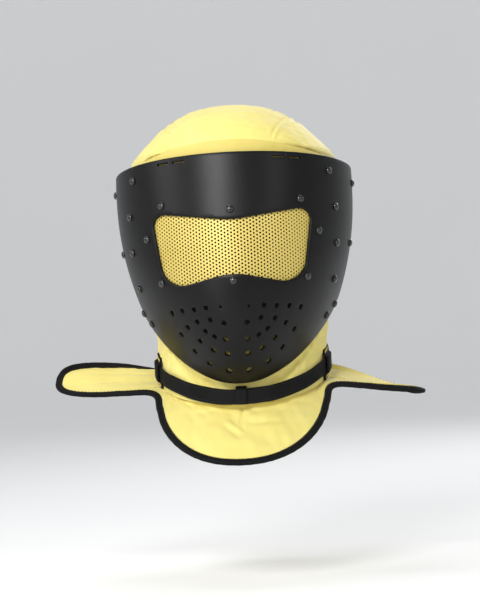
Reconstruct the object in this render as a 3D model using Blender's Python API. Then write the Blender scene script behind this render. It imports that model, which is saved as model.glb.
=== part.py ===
# Sparring headgear with face shield: a padded hood with a lobed shoulder cape, a riveted moulded
# shield with a perforated grille, and a neck strap held in three sewn loops.
# Metres, +Z up, the face looks along -Y. The origin is where the top of the head meets the padding.
from collections import namedtuple
from math import asin, cos, degrees, pi, radians, sin

import bmesh
import bpy
import numpy as np
from mathutils import Matrix, Vector

MM = 0.001

# Crown and hood
CROWN_PAD = 18 * MM  # padding over the top of the head
CROWN_HALF_WIDTH = 109 * MM  # at the crown seam
CROWN_FRONT = 113 * MM  # seam to head centre, forwards
CROWN_BACK = 108 * MM  # seam to head centre, backwards
SEAM_FRONT = 22 * MM  # depth of the crown seam below the seat, at the brow
SEAM_SIDE = 44 * MM
SEAM_BACK = 60 * MM
HOOD_FRONT = 150 * MM
HOOD_BACK = 119 * MM
EAR_PAD = 30 * MM  # thickest padding
NECK_PAD = 12 * MM
NECK_HALF_WIDTH = 86 * MM
NECK_FRONT = 89 * MM
NECK_BACK = 87 * MM
NECK_DEPTH = 264 * MM  # mean depth of the neck seam below the seat
NECK_SLOPE = 24 * MM  # how much lower the seam lies at the front than at the sides
SEWN_GAP = 0.3 * MM  # between pieces that are sewn together
CHIN_MARGIN = 10 * MM  # the shield presses the padding this far below its lower edge
CHIN_BULGE = 1.0  # and below that the padding swells out by this share of the way down
CHIN_EASE = 2 * MM  # extra room between the shield and the padding at the chin

# Face opening of the padding
FACE_CHIN = 220 * MM
FACE_JAW_HALF_WIDTH = 76 * MM
FACE_CORNER = 24 * MM
FACE_BACK = 42 * MM  # how far before the head's centre the opening's sides end
FACE_MARGIN = 4 * MM  # between the grille's edge and the padding

# Face shield
SHIELD_HALF_WIDTH = 123.5 * MM
SHIELD_DEPTH = 142 * MM  # widest plane to the tip of the nose
SHIELD_TOP = 35 * MM  # depth of the front of the top edge below the seat
SHIELD_HEIGHT = 232 * MM
SHIELD_TOP_SLOPE = 17 * MM  # how much lower the top edge lies at the sides
SHIELD_WRAP = radians(100)
SHIELD_CHIN_RISE = 117 * MM  # from the chin up to the lower back corner
SHIELD_CHIN_CURVE = 2.5
SHIELD_WALL = 3 * MM
SHIELD_SEAT = 0.6 * MM  # between the shield and the padding
HOOD_HALF_WIDTH = SHIELD_HALF_WIDTH - SHIELD_WALL - SHIELD_SEAT  # the padding fills the shield
KEEL_ROUNDING = 0.16

# Visor opening, as seen from the front
VISOR_DEPTH = 130 * MM  # depth of its centre below the seat
VISOR_HALF_WIDTH = 82 * MM
VISOR_HALF_HEIGHT = 37.5 * MM

# Perforated grille behind the opening
GRILLE_WALL = 1.2 * MM
GRILLE_MARGIN = 11 * MM  # how far it reaches behind the shield
GRILLE_SEAT = 0.6 * MM
FACE_BROW = VISOR_DEPTH - VISOR_HALF_HEIGHT - GRILLE_MARGIN - FACE_MARGIN  # depth of the brow's lower edge

# Breathing holes
VENT_RADIUS = 2.7 * MM
VENT_HALF_WIDTH = 64.5 * MM
VENT_TOP = 59 * MM  # below the visor's centre
VENT_HEIGHT = 64.5 * MM

# Slots along the top edge
SLOT_LENGTH = 13 * MM
SLOT_WIDTH = 2 * MM
SLOT_SETBACK = 5.5 * MM  # from the top edge

# Rivets
RIVET_RADIUS = 4 * MM
RIVET_HEIGHT = 2.6 * MM
RIVET_SHANK = 1.6 * MM
RIVET_PLAY = 0.3 * MM
RIVET_DRILL = (RIVET_SHANK + RIVET_PLAY) / cos(pi / 6)  # a six-sided hole round the shank
RIVET_PITCH = 36.6 * MM  # down the inner side column
RIVET_OUTER_PITCH = 62 * MM  # down the outer side column

# Shoulder cape
CAPE_THICK = 5 * MM
CAPE_REACH = 106 * MM
CAPE_SEAM = 0.9 * MM  # between the cape's root and the neck seam
NOTCH_OUT = 10 * MM  # the notches' distance from the neck
NOTCH_DOWN = 3 * MM
NOTCH_FRONT = 72.0  # degrees from the front
NOTCH_BACK = 118.0
ROOT_DROP = 6 * MM  # the cape hangs this far before it turns outwards
BINDING_WIDTH = 8 * MM
BINDING_THICK = 7.4 * MM

# Neck strap and its loops
STRAP_WIDTH = 16 * MM
STRAP_THICK = 2 * MM
STRAP_FRONT = 281 * MM  # depth of the strap's middle below the seat, at the throat
STRAP_RISE = 62 * MM  # how much higher it lies at the nape
STRAP_BEND = 1.7  # 2 is a level tilt, less is more of a V at the throat
STRAP_PLAY = 2.0 * MM
LOOP_THICK = 1.6 * MM
LOOP_PLAY = 0.5 * MM

# Mesh density
HOOD_COLUMNS = 32
HOOD_ROWS = 11
CROWN_ROWS = 5
SHIELD_COLUMNS = 34
SHIELD_ROWS = 13
LOBE_COLUMNS = 16
CAPE_ROWS = 3
STRAP_COLUMNS = 32

# level: share of the shield's height below its top edge. keel: share of the section that is a wedge.
ShieldSection = namedtuple("ShieldSection", "level half_width depth keel")
SHIELD_SECTIONS = (
    ShieldSection(0.00, 0.990, 0.845, 0.00),
    ShieldSection(0.15, 0.998, 0.900, 0.00),
    ShieldSection(0.32, 0.982, 0.958, 0.00),
    ShieldSection(0.48, 0.930, 0.993, 0.03),
    ShieldSection(0.60, 0.866, 1.000, 0.10),
    ShieldSection(0.72, 0.780, 0.975, 0.20),
    ShieldSection(0.84, 0.665, 0.900, 0.26),
    ShieldSection(0.93, 0.560, 0.800, 0.24),
    ShieldSection(1.00, 0.440, 0.690, 0.20),
)

# level: share of the neck seam's depth. girth: 1 is the hood's free size and 0 the neck's. pad: likewise.
HoodSection = namedtuple("HoodSection", "level width_girth front_girth back_girth pad")
HOOD_SECTIONS = (
    HoodSection(0.07, 0.35, 0.38, 0.35, 0.35),
    HoodSection(0.165, 0.66, 0.46, 0.56, 0.45),
    HoodSection(0.25, 0.89, 0.68, 0.81, 0.78),
    HoodSection(0.38, 0.98, 1.00, 1.00, 1.00),
    HoodSection(0.47, 0.88, 1.00, 1.00, 0.95),
    HoodSection(0.56, 0.67, 0.95, 0.93, 0.85),
    HoodSection(0.69, 0.32, 0.52, 0.64, 0.50),
    HoodSection(0.785, 0.10, 0.10, 0.34, 0.17),
    HoodSection(0.85, 0.03, -0.06, 0.18, 0.08),
    HoodSection(0.90, 0.00, -0.19, 0.10, 0.00),
    HoodSection(0.96, 0.00, -0.20, 0.02, 0.00),
    HoodSection(1.02, 0.00, -0.12, 0.00, 0.00),
    HoodSection(1.08, 0.00, 0.00, 0.00, 0.00),
    HoodSection(1.14, 0.00, 0.00, 0.00, 0.00),
)

# out: share of the way from the top of the crown to its seam. side and front: share of the drop there.
CrownSection = namedtuple("CrownSection", "out side front")
CROWN_SECTIONS = (
    CrownSection(0.00, 0.000, 0.000),
    CrownSection(0.25, 0.050, 0.040),
    CrownSection(0.48, 0.165, 0.120),
    CrownSection(0.60, 0.285, 0.195),
    CrownSection(0.80, 0.620, 0.420),
    CrownSection(0.94, 0.880, 0.730),
    CrownSection(1.00, 1.000, 1.000),
)

# Corners of half of the visor opening, clockwise from the top middle, as shares of its half width and
# half height, with the corner's radius as a share of the half height.
VisorCorner = namedtuple("VisorCorner", "across up radius steps")
VISOR_CORNERS = (
    VisorCorner(0.00, 0.72, 2.60, 4),
    VisorCorner(1.00, 1.00, 0.30, 4),
    VisorCorner(0.86, -1.10, 0.60, 5),
    VisorCorner(0.00, -0.67, 2.00, 4),
)

# Rivets round the visor: shares of its half width and half height, mirrored where across isn't 0.
VisorRivet = namedtuple("VisorRivet", "across up")
VISOR_RIVETS = (
    VisorRivet(0.00, 1.00),
    VisorRivet(0.85, 1.20),
    VisorRivet(1.055, 0.33),
    VisorRivet(0.89, -0.87),
    VisorRivet(0.00, -0.90),
)

# Side rivets: rows counted in pitches above the visor's centre, at an angle round from the front.
SideRivet = namedtuple("SideRivet", "column row angle")
SIDE_RIVETS = (
    SideRivet("inner", 2, 54.0),
    SideRivet("inner", 1, 58.5),
    SideRivet("inner", 0, 61.5),
    SideRivet("inner", -1, 65.5),
    SideRivet("inner", -2, 69.5),
    SideRivet("outer", 1, 84.0),
    SideRivet("outer", 0, 82.0),
    SideRivet("outer", -1, 78.0),
)

# Breathing holes of one side: shares of the field's half width and height, and of the hole's radius.
Vent = namedtuple("Vent", "across down radius")
VENTS = (
    Vent(0.22, 0.00, 0.50),
    Vent(0.45, 0.00, 0.95),
    Vent(0.64, 0.02, 0.95),
    Vent(0.83, 0.03, 1.00),
    Vent(1.00, 0.06, 1.05),
    Vent(0.18, 0.25, 0.95),
    Vent(0.39, 0.19, 0.95),
    Vent(0.60, 0.21, 1.00),
    Vent(0.48, 0.36, 1.00),
    Vent(0.76, 0.29, 1.00),
    Vent(0.34, 0.45, 1.00),
    Vent(0.88, 0.40, 1.05),
    Vent(0.17, 0.50, 1.00),
    Vent(0.58, 0.51, 1.05),
    Vent(0.38, 0.66, 1.10),
    Vent(0.68, 0.67, 1.10),
    Vent(0.16, 0.73, 1.10),
    Vent(0.46, 0.88, 1.15),
    Vent(0.16, 1.00, 1.20),
)

# Slots: share of the shield's half width at the middle of each slot.
SLOTS = (0.41, 0.54)

# The cape's lobes, from notch to notch. out, back and up: the tip's place as shares of the reach.
# fullness: 2 is a half ellipse, more is squarer. twist: lift of the second edge towards the tip.
Lobe = namedtuple("Lobe", "name start end out back up fullness twist")
LOBES = (
    Lobe("bib", -NOTCH_FRONT, NOTCH_FRONT, 0.0, -1.02, -0.67, 2.2, 0.0),
    Lobe("right_shoulder", NOTCH_FRONT, NOTCH_BACK, 0.95, -0.02, -0.21, 2.8, -0.10),
    Lobe("back", NOTCH_BACK, 360 - NOTCH_BACK, 0.0, 0.90, -0.84, 2.4, 0.0),
    Lobe("left_shoulder", -NOTCH_BACK, -NOTCH_FRONT, -1.04, -0.02, 0.07, 2.8, -0.09),
)

# Strap loops: angle round from the front, width, and length of each sewn foot.
StrapLoop = namedtuple("StrapLoop", "name angle width foot")
STRAP_LOOPS = (
    StrapLoop("centre_strap_loop", 0.0, 11 * MM, 1 * MM),
    StrapLoop("right_strap_loop", 79.0, 16 * MM, 6 * MM),
    StrapLoop("left_strap_loop", -79.0, 16 * MM, 6 * MM),
)

YELLOW_CLOTH = ("yellow_cloth", (0.86, 0.70, 0.16), 0.62, 0.0)
BLACK_SHELL = ("black_shell", (0.018, 0.018, 0.020), 0.42, 0.0)
YELLOW_STEEL = ("yellow_steel", (0.72, 0.52, 0.10), 0.38, 0.7)
BLACK_RIVET = ("black_rivet", (0.015, 0.015, 0.016), 0.25, 0.3)
BLACK_TAPE = ("black_tape", (0.020, 0.020, 0.022), 0.75, 0.0)


# Helpers

def material(spec):
    """A Principled material made once for each finish."""
    name, colour, roughness, metallic = spec
    found = bpy.data.materials.get(name)
    if found:
        return found
    made = bpy.data.materials.new(name)
    made.use_nodes = True
    shader = made.node_tree.nodes["Principled BSDF"]
    shader.inputs["Base Color"].default_value = (*colour, 1.0)
    shader.inputs["Roughness"].default_value = roughness
    shader.inputs["Metallic"].default_value = metallic
    return made


def column_of(table, name):
    """A smooth function through one column of a table, by its first column (cubic Hermite)."""
    rows = sorted(table)
    at = np.array([row[0] for row in rows], float)
    value = np.array([getattr(row, name) for row in rows], float)
    slope = np.gradient(value, at)

    def read(where):
        where = float(np.clip(where, at[0], at[-1]))
        i = min(int(np.searchsorted(at, where, side="right")) - 1, len(at) - 2)
        span = at[i + 1] - at[i]
        s = (where - at[i]) / span
        ease = s * s * (3 - 2 * s)
        bend = s * (1 - s) * span * ((1 - s) * slope[i] - s * slope[i + 1])
        return value[i] + (value[i + 1] - value[i]) * ease + bend

    return read


def mesh_object(name, bm, finish, smooth=35):
    """Links a bmesh as one named object, shaded smooth up to the given edge angle."""
    mesh = bpy.data.meshes.new(name)
    bm.to_mesh(mesh)
    bm.free()
    mesh.shade_smooth()
    mesh.set_sharp_from_angle(angle=radians(smooth))
    obj = bpy.data.objects.new(name, mesh)
    bpy.context.scene.collection.objects.link(obj)
    if finish:
        mesh.materials.append(material(finish))
    return obj


def skin(outer, inner, wrap, pole=False):
    """A closed wall between two grids of points, each a list of rows. wrap joins the last column to
    the first, and pole closes the first row to a point."""
    bm = bmesh.new()
    grids = [[[bm.verts.new(p) for p in row] for row in grid] for grid in (outer, inner)]
    rows, columns = len(outer), len(outer[0])
    last = columns if wrap else columns - 1
    for side, grid in enumerate(grids):
        for r in range(rows - 1):
            for c in range(last):
                d = (c + 1) % columns
                face = [grid[r][c], grid[r + 1][c], grid[r + 1][d], grid[r][d]]
                bm.faces.new(face if side == 0 else face[::-1])
    out, inn = grids
    for r in ([rows - 1] if pole else [0, rows - 1]):
        for c in range(last):
            d = (c + 1) % columns
            bm.faces.new([out[r][c], out[r][d], inn[r][d]])
            bm.faces.new([out[r][c], inn[r][d], inn[r][c]])
    if not wrap:
        for c in (0, columns - 1):
            for r in range(rows - 1):
                face = [out[r][c], inn[r][c], inn[r + 1][c], out[r + 1][c]]
                bm.faces.new(face if c == 0 else face[::-1])
    if pole:
        bmesh.ops.remove_doubles(bm, verts=bm.verts, dist=0.01 * MM)
        bmesh.ops.dissolve_degenerate(bm, edges=bm.edges, dist=0.001 * MM)
    bmesh.ops.recalc_face_normals(bm, faces=bm.faces)
    return bm


def add_prism(bm, outline, low, high):
    """Adds an upright prism to bm: the outline's (x, z) points, swept along Y from low to high."""
    ends = [[bm.verts.new((x, y, z)) for x, z in outline] for y in (low, high)]
    count = len(outline)
    sides = [
        bm.faces.new([ends[0][i], ends[0][(i + 1) % count], ends[1][(i + 1) % count], ends[1][i]])
        for i in range(count)
    ]
    caps = [bm.faces.new(ends[0]), bm.faces.new(ends[1])]
    bmesh.ops.recalc_face_normals(bm, faces=sides + caps)


def rounded_outline(corners):
    """A closed (x, z) outline whose corners (x, z, radius, steps) are rounded by arcs."""
    outline = []
    count = len(corners)
    for i, (x, z, radius, steps) in enumerate(corners):
        here = Vector((x, z))
        to_last = (Vector(corners[i - 1][:2]) - here).normalized()
        to_next = (Vector(corners[(i + 1) % count][:2]) - here).normalized()
        half = to_last.angle(to_next) / 2
        centre = here + (to_last + to_next).normalized() * (radius / sin(half))
        start = here + to_last * (radius / np.tan(half)) - centre
        end = here + to_next * (radius / np.tan(half)) - centre
        turn = start.angle_signed(end)
        for step in range(steps + 1):
            outline.append(centre + Matrix.Rotation(-turn * step / steps, 2) @ start)
    return [tuple(p) for p in outline]


def cutter(name, bm):
    """A guide object that cuts others and isn't part of the headgear."""
    obj = mesh_object(name, bm, None)
    obj.hide_render = True
    obj.display_type = "WIRE"
    return obj


def boolean(obj, tool, operation="DIFFERENCE"):
    """Cuts obj with tool."""
    modifier = obj.modifiers.new(tool.name, "BOOLEAN")
    modifier.operation = operation
    modifier.solver = "EXACT"
    modifier.object = tool


# The shield's surface: angle t round from the front, height z

SHIELD_WIDTH_AT = column_of(SHIELD_SECTIONS, "half_width")
SHIELD_DEPTH_AT = column_of(SHIELD_SECTIONS, "depth")
SHIELD_KEEL_AT = column_of(SHIELD_SECTIONS, "keel")


def shield_section(z):
    """Half width, depth and keel of the shield's outside at height z."""
    level = (-z - SHIELD_TOP) / SHIELD_HEIGHT
    return (
        SHIELD_WIDTH_AT(level) * SHIELD_HALF_WIDTH,
        SHIELD_DEPTH_AT(level) * SHIELD_DEPTH,
        SHIELD_KEEL_AT(level),
    )


def prow(t, keel):
    """Forward share of a section at angle t: an ellipse blended with a wedge that has a rounded edge."""
    wedge = 1 + KEEL_ROUNDING - (sin(t) ** 2 + KEEL_ROUNDING**2) ** 0.5
    return (1 - keel) * cos(t) + keel * wedge * (1 if cos(t) > 0 else 0)


def shield_point(t, z):
    """A point of the shield's outside."""
    half_width, depth, keel = shield_section(z)
    keel *= min(1.0, max(0.0, cos(t)) / 0.3)
    return Vector((half_width * sin(t), -depth * prow(t, keel), z))


def shield_normal(t, z):
    """The outward normal of the shield there."""
    small = 1e-4
    along = shield_point(t + small, z) - shield_point(t - small, z)
    up = shield_point(t, z + small) - shield_point(t, z - small)
    return along.cross(up).normalized()


def shield_inside(t, z, depth):
    """A point at a depth under the shield's outside."""
    return shield_point(t, z) - shield_normal(t, z) * depth


def shield_angle(x, z):
    """The angle t at which the shield's outside reaches x at height z."""
    return asin(max(-1.0, min(1.0, x / shield_section(z)[0])))


def shield_top(t):
    return -SHIELD_TOP - SHIELD_TOP_SLOPE * (1 - cos(t))


def shield_bottom(t):
    chin = -SHIELD_TOP - SHIELD_HEIGHT
    return chin + SHIELD_CHIN_RISE * (abs(t) / SHIELD_WRAP) ** SHIELD_CHIN_CURVE


# The hood's surface: angle a round from the front, height z

HOOD_COLUMN_AT = {n: column_of(HOOD_SECTIONS, n) for n in HoodSection._fields[1:]}


def hood_size(z):
    """Free half width, front, back and padding of the hood at height z."""
    level = -z / NECK_DEPTH

    def blend(column, full, neck):
        return neck + (full - neck) * HOOD_COLUMN_AT[column](level)

    return (
        blend("width_girth", HOOD_HALF_WIDTH, NECK_HALF_WIDTH),
        blend("front_girth", HOOD_FRONT, NECK_FRONT),
        blend("back_girth", HOOD_BACK, NECK_BACK),
        blend("pad", EAR_PAD, NECK_PAD),
    )


def wall_run(section_index, z):
    """How far along a level the shield's wall and its seat reach, on a wall that leans."""
    small = 0.5 * MM
    lean = (shield_section(z + small)[section_index] - shield_section(z - small)[section_index]) / (2 * small)
    return (SHIELD_WALL + SHIELD_SEAT) * (1 + lean * lean) ** 0.5


def hood_point(a, z, inset=0.0):
    """A point of the hood's outside, pressed in by the shield where the shield covers it."""
    width, front, back, _ = hood_size(z)
    forwards = cos(a) > 0
    half_width, depth, keel = shield_section(z)
    ease = CHIN_EASE * min(1.0, max(0.0, -z / FACE_CHIN - 0.9) / 0.2)
    half_width -= wall_run(0, z) + ease
    depth -= wall_run(1, z) + ease
    if half_width > NECK_HALF_WIDTH:
        width = min(width, half_width)
    x = width * abs(sin(a))
    y = front * cos(a) if forwards else -back * cos(a)
    if forwards and x < half_width:
        t = asin(x / half_width)
        below = max(0.0, shield_bottom(t) - CHIN_MARGIN - z)
        y = min(y, depth * prow(t, keel * min(1.0, cos(t) / 0.3)) + below * CHIN_BULGE)
    shrink_x = max(0.0, 1 - inset / width)
    shrink_y = max(0.0, 1 - inset / (front if forwards else back))
    return Vector((x * shrink_x * (1 if sin(a) >= 0 else -1), (-y if forwards else y) * shrink_y, z))


def hood_line(a):
    """Points down the hood's outside at angle a, from the crown seam to the neck seam."""
    line = [seam_pair(a)[0] - Vector((0, 0, SEWN_GAP / 2))]
    for row in range(1, HOOD_ROWS + 1):
        v = row / HOOD_ROWS
        line.append(hood_point(a, seam_height(a) * (1 - v) + neck_height(a) * v))
    return line


def on_hood(a, z):
    """The point of that line at height z."""
    line = hood_line(a)
    for high, low in zip(line, line[1:]):
        if z >= low.z:
            break
    return high.lerp(low, (high.z - z) / (high.z - low.z))


def seam_height(a):
    """Height of the crown seam at angle a."""
    ends = SEAM_FRONT if cos(a) > 0 else SEAM_BACK
    return -SEAM_SIDE - (ends - SEAM_SIDE) * cos(a) ** 2


def neck_height(a):
    """Height of the neck seam at angle a."""
    return -NECK_DEPTH - NECK_SLOPE * cos(a)


def seam_pair(a):
    """Outer and inner points of the crown seam at angle a."""
    z = seam_height(a)
    pad = hood_size(z)[3]
    reach = CROWN_FRONT if cos(a) > 0 else CROWN_BACK
    outer = Vector((CROWN_HALF_WIDTH * sin(a), -reach * cos(a), z))
    inner = Vector(((CROWN_HALF_WIDTH - pad) * sin(a), -(reach - pad) * cos(a), z - pad * 0.35))
    return outer, inner


def turn_of(column, columns):
    return 2 * pi * column / columns


# Pieces

def make_crown():
    """The padded dome: rows run from its top down to the seam."""
    side_drop = column_of(CROWN_SECTIONS, "side")
    front_drop = column_of(CROWN_SECTIONS, "front")
    lift = Vector((0, 0, SEWN_GAP / 2))
    grids = ([], [])
    for row in range(CROWN_ROWS + 1):
        out = (row / CROWN_ROWS) ** 0.8
        for which, grid in enumerate(grids):
            points = []
            for column in range(HOOD_COLUMNS):
                a = turn_of(column, HOOD_COLUMNS)
                rim = seam_pair(a)[which]
                top = CROWN_PAD if which == 0 else 0.0
                drop = sin(a) ** 2 * side_drop(out) + cos(a) ** 2 * front_drop(out)
                points.append(Vector((rim.x * out, rim.y * out, top + (rim.z - top) * drop)) + lift)
            grid.append(points)
    return mesh_object("crown_pad", skin(grids[0], grids[1], wrap=True, pole=True), YELLOW_CLOTH)


def hood_ring():
    """The padded wall from the crown seam to the neck seam, before its face opening is cut."""
    lift = Vector((0, 0, SEWN_GAP / 2))
    grids = ([], [])
    for row in range(HOOD_ROWS + 1):
        v = row / HOOD_ROWS
        for which, grid in enumerate(grids):
            points = []
            for column in range(HOOD_COLUMNS):
                a = turn_of(column, HOOD_COLUMNS)
                z = seam_height(a) * (1 - v) + neck_height(a) * v
                pad = hood_size(z)[3] if which else 0.0
                points.append(hood_point(a, z, pad) if row else seam_pair(a)[which] - lift)
            grid.append(points)
    return skin(grids[0], grids[1], wrap=True)


def face_outline(top, gap):
    """The face opening seen from the front, from the jaw up to the given height."""
    grille = VISOR_HALF_WIDTH + GRILLE_MARGIN
    width = grille + FACE_MARGIN + gap
    jaw = FACE_JAW_HALF_WIDTH + gap
    waist = -(FACE_BROW + FACE_CHIN) / 2
    corners = [(width, top, 0.1 * MM, 1), (width, waist, FACE_CORNER, 2), (jaw, -FACE_CHIN - gap, FACE_CORNER, 3)]
    mirrored = [(-x, z, r, s) for x, z, r, s in corners[::-1]]
    return rounded_outline(corners + mirrored)


def make_hood():
    """The brow band and the wall behind it, cut from one ring along the same lines."""
    far = SHIELD_DEPTH + HOOD_FRONT
    opening = bmesh.new()
    add_prism(opening, face_outline(CROWN_PAD, SEWN_GAP / 2), -far, -FACE_BACK)
    opening = cutter("face_opening", opening)
    hood = mesh_object("hood_wall", hood_ring(), YELLOW_CLOTH)
    boolean(hood, opening)
    block = bmesh.new()
    half = VISOR_HALF_WIDTH + GRILLE_MARGIN + FACE_MARGIN - SEWN_GAP / 2
    box = [(half, CROWN_PAD), (half, -FACE_BROW), (-half, -FACE_BROW), (-half, CROWN_PAD)]
    add_prism(block, box, -far, -FACE_BACK - SEWN_GAP)
    block = cutter("brow_block", block)
    brow = mesh_object("brow_band", hood_ring(), YELLOW_CLOTH)
    boolean(brow, block, "INTERSECT")
    return hood, brow


def visor_outline():
    """The opening in the shield as seen from the front."""
    half = [
        (
            corner.across * VISOR_HALF_WIDTH,
            corner.up * VISOR_HALF_HEIGHT - VISOR_DEPTH,
            corner.radius * VISOR_HALF_HEIGHT,
            corner.steps,
        )
        for corner in VISOR_CORNERS
    ]
    mirrored = [(-x, z, r, s) for x, z, r, s in half[-2:0:-1]]
    return rounded_outline(half + mirrored)


def on_shield(t, z, depth=0.0):
    """A frame on the shield whose Z axis points out of it and whose Y axis points up it."""
    normal = shield_normal(t, z)
    across = Vector((0, 0, 1)).cross(normal).normalized()
    up = normal.cross(across)
    place = Matrix((across, up, normal)).transposed().to_4x4()
    place.translation = shield_inside(t, z, depth)
    return place


def rivet_places():
    """Name and frame of each rivet, visor rivets first."""
    places = []
    for i, rivet in enumerate(VISOR_RIVETS):
        z = rivet.up * VISOR_HALF_HEIGHT - VISOR_DEPTH
        for side, label in ((1, "right"), (-1, "left")) if rivet.across else ((1, "mid"),):
            t = shield_angle(side * rivet.across * VISOR_HALF_WIDTH, z)
            places.append((f"visor_rivet_{i + 1}_{label}", on_shield(t, z), True))
    for i, rivet in enumerate(SIDE_RIVETS):
        pitch = RIVET_PITCH if rivet.column == "inner" else RIVET_OUTER_PITCH
        z = rivet.row * pitch - VISOR_DEPTH
        for side, label in ((1, "right"), (-1, "left")):
            place = on_shield(side * radians(rivet.angle), z)
            places.append((f"side_rivet_{i + 1}_{label}", place, False))
    return places


def vent_places():
    """Frame and radius of each breathing hole."""
    for vent in VENTS:
        z = -VISOR_DEPTH - VENT_TOP - vent.down * VENT_HEIGHT
        for side in (1, -1):
            t = shield_angle(side * vent.across * VENT_HALF_WIDTH, z)
            yield on_shield(t, z), vent.radius * VENT_RADIUS


def add_drill(bm, place, radius, sides):
    """Adds a drill across the shield's wall."""
    bmesh.ops.create_cone(
        bm,
        cap_ends=True,
        segments=sides,
        radius1=radius,
        radius2=radius,
        depth=4 * (SHIELD_WALL + GRILLE_WALL),
        matrix=place,
    )


def make_shield():
    """The moulded shell with its visor opening, breathing holes, slots and rivet holes."""
    grids = ([], [])
    for row in range(SHIELD_ROWS + 1):
        v = row / SHIELD_ROWS
        for which, grid in enumerate(grids):
            points = []
            for column in range(SHIELD_COLUMNS + 1):
                t = SHIELD_WRAP * (2 * column / SHIELD_COLUMNS - 1)
                z = shield_top(t) * (1 - v) + shield_bottom(t) * v
                points.append(shield_inside(t, z, SHIELD_WALL * which))
            grid.append(points)
    shield = mesh_object("face_shield", skin(grids[0], grids[1], wrap=False), BLACK_SHELL)
    cuts = bmesh.new()
    add_prism(cuts, visor_outline(), -2 * SHIELD_DEPTH, -0.3 * SHIELD_DEPTH)
    for place, radius in vent_places():
        add_drill(cuts, place, radius, 8)
    for name, place, through in rivet_places():
        add_drill(cuts, place, RIVET_DRILL, 6)
    for share in SLOTS:
        for side in (1, -1):
            z = -SHIELD_TOP
            for _ in range(3):
                t = shield_angle(side * share * SHIELD_HALF_WIDTH, z)
                z = shield_top(t) - SLOT_SETBACK
            size = Matrix.Diagonal((SLOT_LENGTH, SLOT_WIDTH, 4 * SHIELD_WALL, 1))
            tilt = Matrix.Rotation(-side * asin(SHIELD_TOP_SLOPE * sin(abs(t)) / SHIELD_HALF_WIDTH), 4, "Z")
            bmesh.ops.create_cube(cuts, size=1.0, matrix=on_shield(t, z) @ tilt @ size)
    boolean(shield, cutter("shield_cuts", cuts))
    return shield


def make_grille():
    """The curved plate behind the visor opening. Its fine perforation is smaller than this mesh."""
    columns, rows = 20, 6
    low = -VISOR_DEPTH - VISOR_HALF_HEIGHT - GRILLE_MARGIN
    high = -VISOR_DEPTH + VISOR_HALF_HEIGHT + GRILLE_MARGIN
    grids = ([], [])
    for row in range(rows + 1):
        z = high + (low - high) * row / rows
        for which, grid in enumerate(grids):
            depth = SHIELD_WALL + GRILLE_SEAT + GRILLE_WALL * which
            points = []
            for column in range(columns + 1):
                x = (VISOR_HALF_WIDTH + GRILLE_MARGIN) * (2 * column / columns - 1)
                points.append(shield_inside(shield_angle(x, z), z, depth))
            grid.append(points)
    grille = mesh_object("visor_grille", skin(grids[0], grids[1], wrap=False), YELLOW_STEEL)
    cuts = bmesh.new()
    for name, place, through in rivet_places():
        if through:
            add_drill(cuts, place, RIVET_DRILL, 6)
    boolean(grille, cutter("grille_cuts", cuts))
    return grille


def rivet_mesh(name, grip, burr):
    """A domed rivet turned about Z: its head stands above 0 and its shank goes down through the grip."""
    sides = 8
    seat = RIVET_PLAY
    profile = [
        (0.0, seat + RIVET_HEIGHT),
        (0.85 * RIVET_RADIUS, seat + 0.6 * RIVET_HEIGHT),
        (RIVET_RADIUS, seat),
        (RIVET_SHANK, seat),
        (RIVET_SHANK, -grip),
    ]
    if burr:
        wide = RIVET_SHANK + 4 * RIVET_PLAY
        profile += [(wide, -grip), (wide, -grip - RIVET_PLAY)]
    profile.append((0.0, profile[-1][1]))
    bm = bmesh.new()
    verts = [bm.verts.new((radius, 0, height)) for radius, height in profile]
    edges = [bm.edges.new(pair) for pair in zip(verts, verts[1:])]
    bmesh.ops.spin(
        bm, geom=verts + edges, axis=(0, 0, 1), cent=(0, 0, 0), steps=sides, angle=2 * pi, use_merge=True
    )
    bmesh.ops.remove_doubles(bm, verts=bm.verts, dist=0.01 * MM)
    bmesh.ops.recalc_face_normals(bm, faces=bm.faces)
    obj = mesh_object(name, bm, BLACK_RIVET, smooth=50)
    return obj


def make_rivets():
    """One rivet object at each place, sharing a mesh for each length."""
    meshes = {}
    made = []
    for name, place, through in rivet_places():
        if through not in meshes:
            grip = SHIELD_WALL + (GRILLE_SEAT + GRILLE_WALL + 3 * RIVET_PLAY if through else 0.0)
            first = rivet_mesh(name, grip, burr=through)
            meshes[through] = first.data
        else:
            first = bpy.data.objects.new(name, meshes[through])
            bpy.context.scene.collection.objects.link(first)
        first.matrix_world = place
        made.append(first)
    return made


# The cape: its outline is a loop of lobes, each a half superellipse between two notches

def neck_ring(a, out=0.0, down=0.0):
    """A point level with the neck seam at angle a, moved out and down."""
    z = neck_height(a)
    reach = NECK_FRONT if cos(a) > 0 else NECK_BACK
    return Vector(((NECK_HALF_WIDTH + out) * sin(a), -(reach + out) * cos(a), z - down))


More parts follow.
